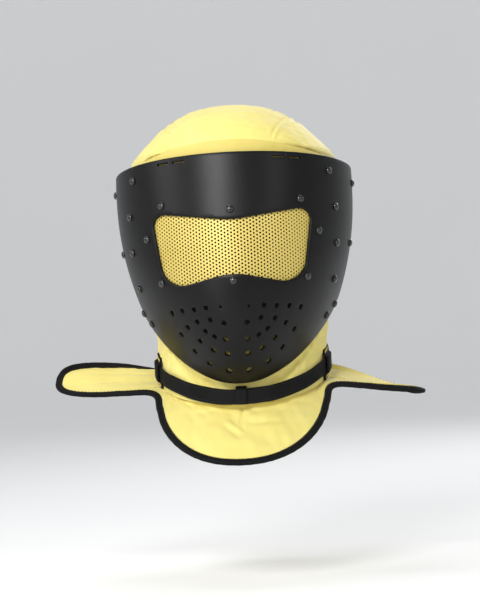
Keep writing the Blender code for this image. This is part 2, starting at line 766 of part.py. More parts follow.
def cape_outline():
    """Points of the cape's outer edge, its up direction there, and the matching angle on the neck."""
    points, ups, angles = [], [], []
    for lobe in LOBES:
        start, end = radians(lobe.start), radians(lobe.end)
        first = neck_ring(start, NOTCH_OUT, NOTCH_DOWN)
        last = neck_ring(end, NOTCH_OUT, NOTCH_DOWN)
        root = (first + last) / 2
        across = (last - first) / 2
        along = Vector((lobe.out, lobe.back, lobe.up)) * CAPE_REACH
        up = along.cross(across).normalized()
        for i in range(LOBE_COLUMNS):
            share = i / LOBE_COLUMNS
            bend = pi * share - pi / 2
            side = abs(sin(bend)) ** (2 / lobe.fullness) * (1 if bend > 0 else -1)
            reach = max(0.0, cos(bend)) ** (2 / lobe.fullness)
            lift = Vector((0, 0, lobe.twist * CAPE_REACH * side * reach))
            points.append(root + across * side + along * reach + lift)
            ups.append(up)
            angles.append(start + (end - start) * share)
    points, ups = np.array(points), np.array(ups)
    points = (np.roll(points, 1, 0) + 6 * points + np.roll(points, -1, 0)) / 8
    for _ in range(4):
        ups = (np.roll(ups, 1, 0) + 2 * ups + np.roll(ups, -1, 0)) / 4
    ups /= np.linalg.norm(ups, axis=1)[:, None]
    return points, ups, angles


def cape_frame():
    """The outline with its inward and up directions, and the same line moved in by the binding."""
    edge, up, angles = cape_outline()
    tangent = np.roll(edge, -1, 0) - np.roll(edge, 1, 0)
    inward = np.cross(up, tangent)
    inward /= np.linalg.norm(inward, axis=1)[:, None]
    up = np.cross(tangent, inward)
    up /= np.linalg.norm(up, axis=1)[:, None]
    return edge, inward, up, angles


def make_cape():
    """The padded sheet from the neck seam to the binding, bent out from the neck."""
    edge, inward, up, angles = cape_frame()
    line = edge + inward * BINDING_WIDTH
    grids = ([], [])
    middle = []
    root_in = -0.7 * NECK_PAD
    root = np.array([neck_ring(a, root_in, CAPE_SEAM) for a in angles])
    turn = np.array([neck_ring(a, root_in, CAPE_SEAM + ROOT_DROP) for a in angles])
    middle.append(root)
    for row in range(CAPE_ROWS):
        u = row / (CAPE_ROWS - 1)
        middle.append(turn * (1 - u) + line * u)
    middle = np.array(middle)
    along = np.gradient(middle, axis=0)
    around = np.roll(middle, -1, 1) - np.roll(middle, 1, 1)
    normal = np.cross(around, along)
    normal[-1] = -up
    normal[0] = [-np.array((sin(a), -cos(a), 0)) for a in angles]
    normal /= np.linalg.norm(normal, axis=2)[:, :, None]
    for row in range(CAPE_ROWS + 1):
        grids[0].append([Vector(p) for p in middle[row] - normal[row] * CAPE_THICK / 2])
        grids[1].append([Vector(p) for p in middle[row] + normal[row] * CAPE_THICK / 2])
    return mesh_object("shoulder_cape", skin(grids[0], grids[1], wrap=True), YELLOW_CLOTH)


def make_binding():
    """The tape round the cape's edge: a flat bead with a rounded outer side."""
    edge, inward, up, _ = cape_frame()
    inner = BINDING_WIDTH - 2 * SEWN_GAP
    half = BINDING_THICK / 2
    section = ((inner, half), (0.25 * inner, half), (0.0, 0.0), (0.25 * inner, -half), (inner, -half))
    rows = [[Vector(p) for p in edge + inward * reach + up * lift] for reach, lift in section]
    bm = bmesh.new()
    grid = [[bm.verts.new(p) for p in row] for row in rows]
    count = len(edge)
    for r in range(len(section) - 1):
        for c in range(count):
            d = (c + 1) % count
            bm.faces.new([grid[r][c], grid[r][d], grid[r + 1][d], grid[r + 1][c]])
    for c in range(count):
        d = (c + 1) % count
        bm.faces.new([grid[0][c], grid[0][d], grid[-1][d]])
        bm.faces.new([grid[0][c], grid[-1][d], grid[-1][c]])
    bmesh.ops.recalc_face_normals(bm, faces=bm.faces)
    return mesh_object("cape_binding", bm, BLACK_TAPE)


# The strap lies on the hood's neck, tilted down at the throat

def strap_height(a):
    """Height of the strap's middle at angle a."""
    return -STRAP_FRONT + STRAP_RISE * abs(sin(a / 2)) ** STRAP_BEND


def strap_point(a, up, out):
    """A point up the neck from the strap's middle and out from the neck."""
    z = strap_height(a) + up
    base = on_hood(a, z)
    away = Vector((sin(a) / NECK_HALF_WIDTH, -cos(a) / NECK_FRONT, 0)).normalized()
    return base + away * out


def make_strap():
    """A closed band of webbing round the neck."""
    half = STRAP_WIDTH / 2
    outside, inside = [], []
    for up in (half, 0.0, -half):
        angles = [turn_of(c, STRAP_COLUMNS) - pi for c in range(STRAP_COLUMNS)]
        outside.append([strap_point(a, up, STRAP_PLAY + STRAP_THICK) for a in angles])
        inside.append([strap_point(a, up, STRAP_PLAY) for a in angles])
    return mesh_object("neck_strap", skin(outside, inside, wrap=True), BLACK_TAPE)


def make_strap_loops():
    """Sewn loops: a strip with both feet on the neck that bridges over the strap."""
    made = []
    over = STRAP_PLAY + STRAP_THICK + LOOP_PLAY
    half = STRAP_WIDTH / 2 + LOOP_PLAY
    for loop in STRAP_LOOPS:
        a = radians(loop.angle)
        slack = half + LOOP_THICK
        stations = [
            (-slack - loop.foot, SEWN_GAP),
            (-slack, SEWN_GAP),
            (-half, over),
            (half, over),
            (slack, SEWN_GAP),
            (slack + loop.foot, SEWN_GAP),
        ]
        reach = NECK_FRONT if cos(a) > 0.5 else NECK_HALF_WIDTH
        outside, inside = [], []
        for share in (-0.5, 0.0, 0.5):
            b = a + share * loop.width / reach
            outside.append([strap_point(b, up, out + LOOP_THICK) for up, out in stations])
            inside.append([strap_point(b, up, out) for up, out in stations])
        made.append(mesh_object(loop.name, skin(outside, inside, wrap=False), BLACK_TAPE))
    return made


def main():
    for obj in list(bpy.data.objects):
        bpy.data.objects.remove(obj)
    make_crown()
    make_hood()
    make_shield()
    make_grille()
    make_rivets()
    make_cape()
    make_binding()
    make_strap()
    make_strap_loops()


main()
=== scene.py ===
from math import cos, pi, radians, sin, tan

import bmesh
import bpy
import numpy as np
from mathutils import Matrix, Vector, geometry


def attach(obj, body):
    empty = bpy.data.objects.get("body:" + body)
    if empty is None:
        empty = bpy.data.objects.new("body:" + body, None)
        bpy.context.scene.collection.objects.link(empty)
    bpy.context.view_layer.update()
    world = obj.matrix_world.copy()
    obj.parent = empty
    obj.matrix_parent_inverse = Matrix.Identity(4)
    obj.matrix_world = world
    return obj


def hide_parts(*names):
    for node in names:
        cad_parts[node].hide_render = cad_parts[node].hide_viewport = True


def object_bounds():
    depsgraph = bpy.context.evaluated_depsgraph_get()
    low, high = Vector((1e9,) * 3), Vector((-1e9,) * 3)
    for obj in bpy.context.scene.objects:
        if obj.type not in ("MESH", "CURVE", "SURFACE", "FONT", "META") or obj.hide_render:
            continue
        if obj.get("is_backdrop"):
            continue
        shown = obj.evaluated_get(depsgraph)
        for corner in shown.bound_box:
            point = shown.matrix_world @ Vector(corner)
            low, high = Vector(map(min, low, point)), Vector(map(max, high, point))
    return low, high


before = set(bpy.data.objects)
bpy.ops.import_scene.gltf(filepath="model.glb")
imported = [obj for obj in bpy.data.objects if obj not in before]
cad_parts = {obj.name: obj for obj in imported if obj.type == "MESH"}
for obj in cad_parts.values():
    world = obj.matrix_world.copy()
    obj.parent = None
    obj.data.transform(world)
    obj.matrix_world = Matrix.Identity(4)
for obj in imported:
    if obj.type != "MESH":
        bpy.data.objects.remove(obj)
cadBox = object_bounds()
scene = bpy.context.scene
mm = 0.001
print("frame loaded")


# A smooth curve through a table: cubic Hermite, with slopes from the neighbours
def smoothColumn(at, value):
    at, value = np.array(at, float), np.array(value, float)
    slope = np.gradient(value, at)

    def read(where):
        where = np.clip(where, at[0], at[-1])
        i = np.clip(np.searchsorted(at, where, side="right") - 1, 0, len(at) - 2)
        span = at[i + 1] - at[i]
        s = (where - at[i]) / span
        bend = s * (1 - s) * span * ((1 - s) * slope[i] - s * slope[i + 1])
        return value[i] + (value[i + 1] - value[i]) * s * s * (3 - 2 * s) + bend

    return read


def unit(vectors):
    return vectors / np.maximum(np.linalg.norm(vectors, axis=-1, keepdims=True), 1e-12)


def ease(value, low, high):
    s = np.clip((value - low) / (high - low), 0, 1)
    return s * s * (3 - 2 * s)


# A quiet unevenness: six sine waves in fixed directions, one wavelength apart from the next
def ripple(points, length, seed):
    dice = np.random.default_rng(seed)
    total = 0.0
    for _ in range(6):
        way = unit(dice.normal(size=3))
        total = total + np.sin(points @ way * 2 * pi / (length * (0.7 + 0.7 * dice.random())) + 6.28 * dice.random())
    return total / 6**0.5


# Catmull-Rom along the first axis, factor points for each one given
def denser(values, factor, closed):
    n = len(values)
    if closed:
        ends = np.concatenate([values[-1:], values, values[:2]])
        where = np.arange(n * factor) / factor
    else:
        ends = np.concatenate([2 * values[:1] - values[1:2], values, 2 * values[-1:] - values[-2:-1]])
        where = np.arange((n - 1) * factor + 1) / factor
    i = np.minimum(where.astype(int), n - 1 if closed else n - 2)
    s = (where - i).reshape(-1, *[1] * (values.ndim - 1))
    a, b, c, d = ends[i], ends[i + 1], ends[i + 2], ends[i + 3]
    return 0.5 * (2 * b + (c - a) * s + (2 * a - 5 * b + 4 * c - d) * s**2 + (3 * b - a - 3 * c + d) * s**3)


# Normals of a grid of points: down the rows crossed with along the columns
def gridNormals(grid, closed):
    down = np.gradient(grid, axis=0)
    if closed:
        along = np.roll(grid, -1, 1) - np.roll(grid, 1, 1)
    else:
        along = np.gradient(grid, axis=1)
    return unit(np.cross(down, along))


# Points, faces, UVs and material numbers of one mesh, gathered as arrays
class Maker:
    def __init__(self):
        self.points, self.faces, self.uvs, self.slots, self.count = [], [], [], [], 0

    def put(self, points):
        points = np.asarray(points, float)
        index = np.arange(points[..., 0].size).reshape(points.shape[:-1]) + self.count
        self.points.append(points.reshape(-1, 3))
        self.count += index.size
        return index

    def face(self, corners, uv=None, slot=0):
        corners = np.asarray(corners)
        self.faces.append(corners)
        self.uvs.append(np.zeros((*corners.shape, 2)) if uv is None else uv)
        self.slots.append(np.full(len(corners), slot))

    # Quads over a grid of vertex numbers; u has one value a column and v one a row, in metres
    def sheet(self, index, wrap=False, ring=False, flip=False, u=None, v=None, slot=0):
        rows, columns = index.shape
        r, c = np.meshgrid(np.arange(rows if ring else rows - 1), np.arange(columns if wrap else columns - 1), indexing="ij")
        r, c = r.ravel(), c.ravel()
        low, side = (r + 1) % rows, (c + 1) % columns
        corners = np.stack([index[r, c], index[low, c], index[low, side], index[r, side]], -1)
        u = np.arange(columns + 1) * mm if u is None else np.append(u, 2 * u[-1] - u[-2])
        v = np.arange(rows + 1) * mm if v is None else np.append(v, 2 * v[-1] - v[-2])
        uv = np.stack([np.stack([u[c], u[c], u[c + 1], u[c + 1]], -1), np.stack([v[r], v[r + 1], v[r + 1], v[r]], -1)], -1)
        if flip:
            corners, uv = corners[:, ::-1], uv[:, ::-1]
        self.face(corners, uv, slot)

    def build(self, name, finishes, merge=True, smooth=60):
        mesh = bpy.data.meshes.new(name)
        faces = [row for block in self.faces for row in block.tolist()]
        mesh.from_pydata(np.concatenate(self.points).tolist(), [], faces)
        layer = mesh.uv_layers.new(name="UVMap")
        layer.data.foreach_set("uv", np.concatenate([uv.reshape(-1, 2) for uv in self.uvs]).ravel())
        mesh.polygons.foreach_set("material_index", np.concatenate(self.slots).astype(int))
        for finish in finishes:
            mesh.materials.append(finish)
        bm = bmesh.new()
        bm.from_mesh(mesh)
        if merge:
            bmesh.ops.remove_doubles(bm, verts=bm.verts, dist=2e-6)
            bmesh.ops.dissolve_degenerate(bm, edges=bm.edges, dist=1e-7)
        bmesh.ops.recalc_face_normals(bm, faces=bm.faces)
        bm.to_mesh(mesh)
        bm.free()
        mesh.shade_smooth()
        mesh.set_sharp_from_angle(angle=radians(smooth))
        piece = bpy.data.objects.new(name, mesh)
        scene.collection.objects.link(piece)
        return piece


# Shader maths: a socket with Python's operators
class Value:
    def __init__(self, tree, socket):
        self.tree, self.socket = tree, socket

    def maths(self, operation, other=None, swap=False):
        node = self.tree.nodes.new("ShaderNodeMath")
        node.operation = operation
        for i, item in enumerate((other, self) if swap else (self, other)):
            if isinstance(item, Value):
                self.tree.links.new(item.socket, node.inputs[i])
            elif item is not None:
                node.inputs[i].default_value = item
        return Value(self.tree, node.outputs[0])

    def __add__(self, other): return self.maths("ADD", other)
    def __radd__(self, other): return self.maths("ADD", other, True)
    def __sub__(self, other): return self.maths("SUBTRACT", other)
    def __rsub__(self, other): return self.maths("SUBTRACT", other, True)
    def __mul__(self, other): return self.maths("MULTIPLY", other)
    def __rmul__(self, other): return self.maths("MULTIPLY", other, True)
    def __truediv__(self, other): return self.maths("DIVIDE", other)
    def __pow__(self, other): return self.maths("POWER", other)
    def sine(self): return self.maths("SINE")
    def size(self): return self.maths("ABSOLUTE")
    def whole(self): return self.maths("FLOOR")
    def above(self, limit): return self.maths("GREATER_THAN", limit)


# A material with a Principled shader; values that vary arrive as sockets
class Finish:
    def __init__(self, name, **constants):
        self.made = bpy.data.materials.new(name)
        self.made.use_nodes = True
        self.tree = self.made.node_tree
        self.shader = self.tree.nodes["Principled BSDF"]
        self.set(self.shader, constants)

    def set(self, node, values):
        for key, value in values.items():
            name = key if isinstance(key, int) else key.replace("_", " ")
            if isinstance(value, Value):
                self.tree.links.new(value.socket, node.inputs[name])
            elif isinstance(value, bpy.types.NodeSocket):
                self.tree.links.new(value, node.inputs[name])
            else:
                node.inputs[name].default_value = value

    def node(self, kind, settings=None, values=None):
        node = self.tree.nodes.new(kind)
        for key, value in (settings or {}).items():
            setattr(node, key, value)
        self.set(node, values or {})
        return node

    def value(self, node, output=0):
        return Value(self.tree, node.outputs[output])

    def place(self, output="Object"):
        return self.node("ShaderNodeTexCoord").outputs[output]

    def noise(self, vector, scale, detail=2.0, roughness=0.5):
        node = self.node("ShaderNodeTexNoise", None, {"Vector": vector, "Scale": scale, "Detail": detail, "Roughness": roughness})
        return self.value(node, 0)

    def mix(self, factor, a, b):
        node = self.node("ShaderNodeMix", {"data_type": "RGBA"}, {0: factor, 6: a, 7: b})
        return node.outputs[2]

    def uv(self):
        node = self.node("ShaderNodeSeparateXYZ", None, {"Vector": self.place("UV")})
        return self.value(node, 0), self.value(node, 1)

    def bump(self, height, distance, strength=1.0, normal=None):
        values = {"Height": height, "Distance": distance, "Strength": strength}
        if normal is not None:
            values["Normal"] = normal
        return self.node("ShaderNodeBump", None, values).outputs[0]

    def finish(self, **linked):
        self.set(self.shader, linked)
        return self.made


def rgb(r, g, b):
    return (r, g, b, 1.0)


# Coated nylon: plain weave by the piece's own UV, soft mottling
def nylonFinish(name, light, dark, weave=0.9 * mm):
    made = Finish(name, Sheen_Weight=0.25, Sheen_Roughness=0.45, Specular_IOR_Level=0.35)
    where = made.place()
    u, v = made.uv()
    warp = (u * (2 * pi / weave)).sine()
    weft = (v * (2 * pi / weave)).sine()
    threads = warp * weft * 0.5 + 0.5
    soft = made.noise(where, 26, 3)
    fine = made.noise(where, 420, 2)
    creases = made.noise(where, 70, 4, 0.6)
    first = made.bump(creases, 1.1 * mm, 0.35)
    second = made.bump(threads * 0.7 + fine * 0.6, 0.10 * mm, 0.5, first)
    tone = made.mix(soft * 0.8 + fine * 0.25 - 0.05, rgb(*dark), rgb(*light))
    tone = made.mix(threads * 0.12, tone, rgb(*[0.72 * c for c in dark]))
    return made.finish(Base_Color=tone, Roughness=0.56 + 0.14 * soft, Normal=second)


# Moulded shell: fine pebble grain, slightly polished by handling
def shellFinish():
    made = Finish("mouldedShell", Specular_IOR_Level=0.22, IOR=1.5)
    where = made.place()
    grain = made.node("ShaderNodeTexVoronoi", {"feature": "SMOOTH_F1"}, {"Vector": where, "Scale": 720.0, "Smoothness": 0.6})
    pebble = made.value(grain, 0)
    rub = made.noise(where, 17, 4, 0.6)
    dust = made.noise(where, 900, 2)
    tone = made.mix(rub * 0.7 + dust * 0.3, rgb(0.0014, 0.0014, 0.0017), rgb(0.0040, 0.0039, 0.0040))
    normal = made.bump(pebble * 0.8 + dust * 0.3, 0.16 * mm, 0.42)
    return made.finish(Base_Color=tone, Roughness=0.31 + 0.09 * rub + 0.05 * dust, Normal=normal)


# Powder-coated steel: orange peel, a little wear to bare metal on raised spots
def steelFinish():
    made = Finish("paintedSteel", Specular_IOR_Level=0.5, Coat_Weight=0.15, Coat_Roughness=0.3)
    where = made.place()
    cloud = made.noise(where, 24, 3)
    peel = made.noise(where, 650, 2)
    worn = (made.noise(where, 420, 5, 0.7) * cloud).above(0.42)
    tone = made.mix(cloud, rgb(0.56, 0.43, 0.085), rgb(0.70, 0.55, 0.15))
    tone = made.mix(worn * 0.3, tone, rgb(0.45, 0.38, 0.20))
    normal = made.bump(peel, 0.08 * mm, 0.4)
    return made.finish(Base_Color=tone, Roughness=0.46 + 0.12 * cloud, Metallic=0.25 + 0.3 * worn, Normal=normal)


def rivetFinish():
    made = Finish("lacqueredRivet", Specular_IOR_Level=0.6, Coat_Weight=0.3, Coat_Roughness=0.12)
    where = made.place()
    scuff = made.noise(where, 260, 4, 0.65)
    tone = made.mix(scuff.above(0.62) * 0.5, rgb(0.011, 0.011, 0.012), rgb(0.06, 0.058, 0.055))
    return made.finish(Base_Color=tone, Roughness=0.16 + 0.18 * scuff, Metallic=0.25, Normal=made.bump(scuff, 0.04 * mm, 0.3))


# Ribbed tape: ribs across its length, by the strip's own UV, with lint
def tapeFinish(name, rib, light, dark, twill=0.0):
    made = Finish(name, Specular_IOR_Level=0.14)
    where = made.place()
    u, v = made.uv()
    ribs = (u * (2 * pi / rib) + v * (twill / rib)).sine() * 0.5 + 0.5
    cords = (v * (2 * pi / (1.6 * rib))).sine() * 0.5 + 0.5
    lint = made.noise(where, 300, 3)
    soft = made.noise(where, 40, 2)
    height = ribs * 0.8 + cords * 0.25 + lint * 0.3
    tone = made.mix(ribs * 0.5 + soft * 0.35 + lint * 0.15, rgb(*dark), rgb(*light))
    return made.finish(Base_Color=tone, Roughness=0.62 + 0.2 * lint, Normal=made.bump(height, 0.22 * mm, 0.6))


def threadFinish(name, light, dark):
    made = Finish(name, Sheen_Weight=0.05, Specular_IOR_Level=0.4)
    u, v = made.uv()
    twist = (u * (2 * pi / (0.5 * mm)) + v * (2 * pi / (0.5 * mm))).sine() * 0.5 + 0.5
    fuzz = made.noise(made.place(), 800, 2)
    tone = made.mix(twist * 0.6 + fuzz * 0.3, rgb(*dark), rgb(*light))
    return made.finish(Base_Color=tone, Roughness=0.5 + 0.2 * fuzz, Normal=made.bump(twist, 0.06 * mm, 0.5))


yellowNylon = nylonFinish("yellowNylon", (0.84, 0.74, 0.245), (0.74, 0.62, 0.155))
# The brow band: the same yellow nylon made darker, painted shade under the crown's front edge
shadedBrowNylon = nylonFinish("shadedBrowNylon", (0.72, 0.60, 0.17), (0.60, 0.48, 0.10))
# Lining: near black, painted shade, so the inside seen through the visor and the vents reads dark
paintedShadeLining = nylonFinish("paintedShadeLining", (0.018, 0.017, 0.015), (0.010, 0.010, 0.009))
shellPlastic = shellFinish()
paintedSteel = steelFinish()
rivetLacquer = rivetFinish()
edgeTape = tapeFinish("edgeTape", 1.3 * mm, (0.0080, 0.0078, 0.0078), (0.0018, 0.0018, 0.0019))
neckTape = tapeFinish("neckTape", 1.1 * mm, (0.0095, 0.0093, 0.0092), (0.0020, 0.0020, 0.0020), 2.2)
yellowThread = threadFinish("yellowThread", (0.88, 0.72, 0.20), (0.62, 0.46, 0.08))
blackThread = threadFinish("blackThread", (0.018, 0.018, 0.018), (0.005, 0.005, 0.005))
print("finishes made")


# The face shield's surface: angle t round from the front and height z
shieldShape = {
    "halfWidth": 123.5 * mm, "depth": 142 * mm, "top": 35 * mm, "height": 232 * mm, "topSlope": 17 * mm,
    "wrap": radians(100), "chinRise": 117 * mm, "chinCurve": 2.5, "wall": 3 * mm, "seat": 0.6 * mm, "keelRounding": 0.16,
    "level": (0, 0.15, 0.32, 0.48, 0.60, 0.72, 0.84, 0.93, 1),
    "width": (0.990, 0.998, 0.982, 0.930, 0.866, 0.780, 0.665, 0.560, 0.440),
    "reach": (0.845, 0.900, 0.958, 0.993, 1.000, 0.975, 0.900, 0.800, 0.690),
    "keel": (0, 0, 0, 0.03, 0.10, 0.20, 0.26, 0.24, 0.20),
    "grid": 3.0, "edgeRound": 0.9, "visorRound": 1.3,  # in millimetres
}
shieldWidthAt = smoothColumn(shieldShape["level"], shieldShape["width"])
shieldReachAt = smoothColumn(shieldShape["level"], shieldShape["reach"])
shieldKeelAt = smoothColumn(shieldShape["level"], shieldShape["keel"])


def shieldSection(z):
    level = (-z - shieldShape["top"]) / shieldShape["height"]
    return shieldWidthAt(level) * shieldShape["halfWidth"], shieldReachAt(level) * shieldShape["depth"], shieldKeelAt(level)


# Forward share of a section: an ellipse blended with a wedge that has a rounded edge
def prow(t, keel):
    rounding = shieldShape["keelRounding"]
    wedge = 1 + rounding - np.sqrt(np.sin(t) ** 2 + rounding**2)
    return (1 - keel) * np.cos(t) + keel * wedge * (np.cos(t) > 0)


def shieldPoint(t, z):
    halfWidth, depth, keel = shieldSection(z)
    keel = keel * np.minimum(1, np.maximum(0, np.cos(t)) / 0.3)
    return np.stack([halfWidth * np.sin(t), -depth * prow(t, keel), z + 0 * t], -1)


# Across the surface crossed with up it
def shieldNormal(t, z):
    small = 1e-4
    return unit(np.cross(shieldPoint(t + small, z) - shieldPoint(t - small, z), shieldPoint(t, z + small) - shieldPoint(t, z - small)))


def shieldInside(t, z, depth):
    return shieldPoint(t, z) - shieldNormal(t, z) * np.asarray(depth)[..., None]


def shieldAngle(x, z):
    return np.arcsin(np.clip(x / shieldSection(z)[0], -1, 1))


def shieldTop(t):
    return -shieldShape["top"] - shieldShape["topSlope"] * (1 - np.cos(t))


def shieldBottom(t):
    chin = -shieldShape["top"] - shieldShape["height"]
    return chin + shieldShape["chinRise"] * (np.abs(t) / shieldShape["wrap"]) ** shieldShape["chinCurve"]


# Frames on the shield: place, across, up and normal
def onShield(t, z):
    normal = shieldNormal(t, z)
    across = unit(np.cross(np.array([0.0, 0, 1]), normal))
    return shieldPoint(t, z), across, np.cross(normal, across), normal


visor = {"depth": 130 * mm, "halfWidth": 82 * mm, "halfHeight": 37.5 * mm,
         "corners": ((0, 0.72, 2.6), (1, 1, 0.3), (0.86, -1.10, 0.6), (0, -0.67, 2.0)), "steps": 12}
rivets = {"radius": 4 * mm, "height": 2.6 * mm, "shank": 1.6 * mm, "play": 0.3 * mm, "pitch": 36.6 * mm, "outerPitch": 62 * mm,
          "visor": ((0, 1.00), (0.85, 1.20), (1.055, 0.33), (0.89, -0.87), (0, -0.90)),
          "inner": ((2, 54.0), (1, 58.5), (0, 61.5), (-1, 65.5), (-2, 69.5)), "outer": ((1, 84.0), (0, 82.0), (-1, 78.0)), "sides": 28}
vents = {"radius": 2.7 * mm, "halfWidth": 64.5 * mm, "top": 59 * mm, "height": 64.5 * mm, "sides": 20, "places": (
    (0.22, 0.00, 0.50), (0.45, 0.00, 0.95), (0.64, 0.02, 0.95), (0.83, 0.03, 1.00), (1.00, 0.06, 1.05),
    (0.18, 0.25, 0.95), (0.39, 0.19, 0.95), (0.60, 0.21, 1.00), (0.48, 0.36, 1.00), (0.76, 0.29, 1.00),
    (0.34, 0.45, 1.00), (0.88, 0.40, 1.05), (0.17, 0.50, 1.00), (0.58, 0.51, 1.05), (0.38, 0.66, 1.10),
    (0.68, 0.67, 1.10), (0.16, 0.73, 1.10), (0.46, 0.88, 1.15), (0.16, 1.00, 1.20))}
slots = {"shares": (0.41, 0.54), "length": 13 * mm, "width": 1.5 * mm, "dot": 1.25 * mm, "setback": 5.5 * mm}


# An outline whose corners (x, z, radius) are rounded by arcs
def roundedOutline(corners, steps):
    corners = np.array(corners, float)
    here = corners[:, :2]
    back, ahead = unit(np.roll(here, 1, 0) - here), unit(np.roll(here, -1, 0) - here)
    half = np.arccos(np.clip((back * ahead).sum(1), -1, 1)) / 2
    centre = here + unit(back + ahead) * (corners[:, 2] / np.sin(half))[:, None]
    start = here + back * (corners[:, 2] / np.tan(half))[:, None] - centre
    end = here + ahead * (corners[:, 2] / np.tan(half))[:, None] - centre
    turn = np.arctan2(start[:, 0] * end[:, 1] - start[:, 1] * end[:, 0], (start * end).sum(1))
    angle = turn[:, None] * np.linspace(0, 1, steps + 1)
    x = start[:, :1] * np.cos(angle) - start[:, 1:] * np.sin(angle)
    y = start[:, :1] * np.sin(angle) + start[:, 1:] * np.cos(angle)
    return (np.stack([x, y], -1) + centre[:, None]).reshape(-1, 2)


# The same outline with points no further apart than step
def evenly(outline, step, closed=True):
    ring = np.concatenate([outline, outline[:1]]) if closed else outline
    run = np.concatenate([[0], np.cumsum(np.linalg.norm(np.diff(ring, axis=0), axis=1))])
    count = int(run[-1] / step) + 1
    where = np.linspace(0, run[-1], count + 1)
    if closed:
        where = where[:-1]
    return np.stack([np.interp(where, run, ring[:, k]) for k in range(ring.shape[1])], -1)


def visorOutline():
    half = [(x * visor["halfWidth"], up * visor["halfHeight"] - visor["depth"], r * visor["halfHeight"]) for x, up, r in visor["corners"]]
    mirrored = [(-x, z, r) for x, z, r in half[-2:0:-1]]
    return evenly(roundedOutline(half + mirrored, visor["steps"]), 1.6 * mm)


# Angles and heights of the rivets, those round the visor and those down the sides
def rivetPlaces():
    around, sides = [], []
    for across, up in rivets["visor"]:
        z = up * visor["halfHeight"] - visor["depth"]
        for side in (1, -1) if across else (1,):
            around.append((float(shieldAngle(np.array(side * across * visor["halfWidth"]), np.array(z))), z))
    for column, pitch in (("inner", rivets["pitch"]), ("outer", rivets["outerPitch"])):
        for row, angle in rivets[column]:
            sides += [(side * radians(angle), row * pitch - visor["depth"]) for side in (1, -1)]
    return np.array(around), np.array(sides)


# Points round a spot on the shield, given in its tangent plane, as (t, z)
def roundOnShield(t, z, flat):
    place, across, up, _ = onShield(np.array(t), np.array(z))
    points = place + flat[:, :1] * across + flat[:, 1:] * up
    return np.stack([shieldAngle(points[:, 0], points[:, 2]), points[:, 2]], -1)


def circle(radius, sides):
    angle = np.arange(sides) * 2 * pi / sides
    return np.stack([np.cos(angle), np.sin(angle)], -1) * radius


# A thin slot with a round dot at each end
def slotShape(tilt):
    half, thin, dot = slots["length"] / 2 - slots["dot"], slots["width"] / 2, slots["dot"]
    open_ = np.arcsin(thin / dot)
    angle = np.linspace(-pi + open_, pi - open_, 15)
    end = np.stack([half + dot * np.cos(angle), dot * np.sin(angle)], -1)
    middle = np.linspace(1, -1, 7)[1:-1] * (half - dot * np.cos(open_))
    top = np.stack([middle, 0 * middle + thin], -1)
    shape = np.concatenate([end, top, -end, -top])
    turn = np.array([[cos(tilt), -sin(tilt)], [sin(tilt), cos(tilt)]])
    return shape @ turn.T


def insidePolygon(points, polygon):
    x, y = points[:, :1], points[:, 1:]
    x0, y0 = polygon.T
    x1, y1 = np.roll(polygon, -1, 0).T
    flat = np.where(y1 == y0, 1e-30, y1 - y0)
    return (((y0 > y) != (y1 > y)) & (x < (x1 - x0) * (y - y0) / flat + x0)).sum(1) % 2 == 1


def nearest(points, others):
    best = np.full(len(points), 1e9)
    for part in np.array_split(others, max(1, len(others) // 200)):
        best = np.minimum(best, np.sqrt(((points[:, None] - part[None]) ** 2).sum(-1)).min(1))
    return best


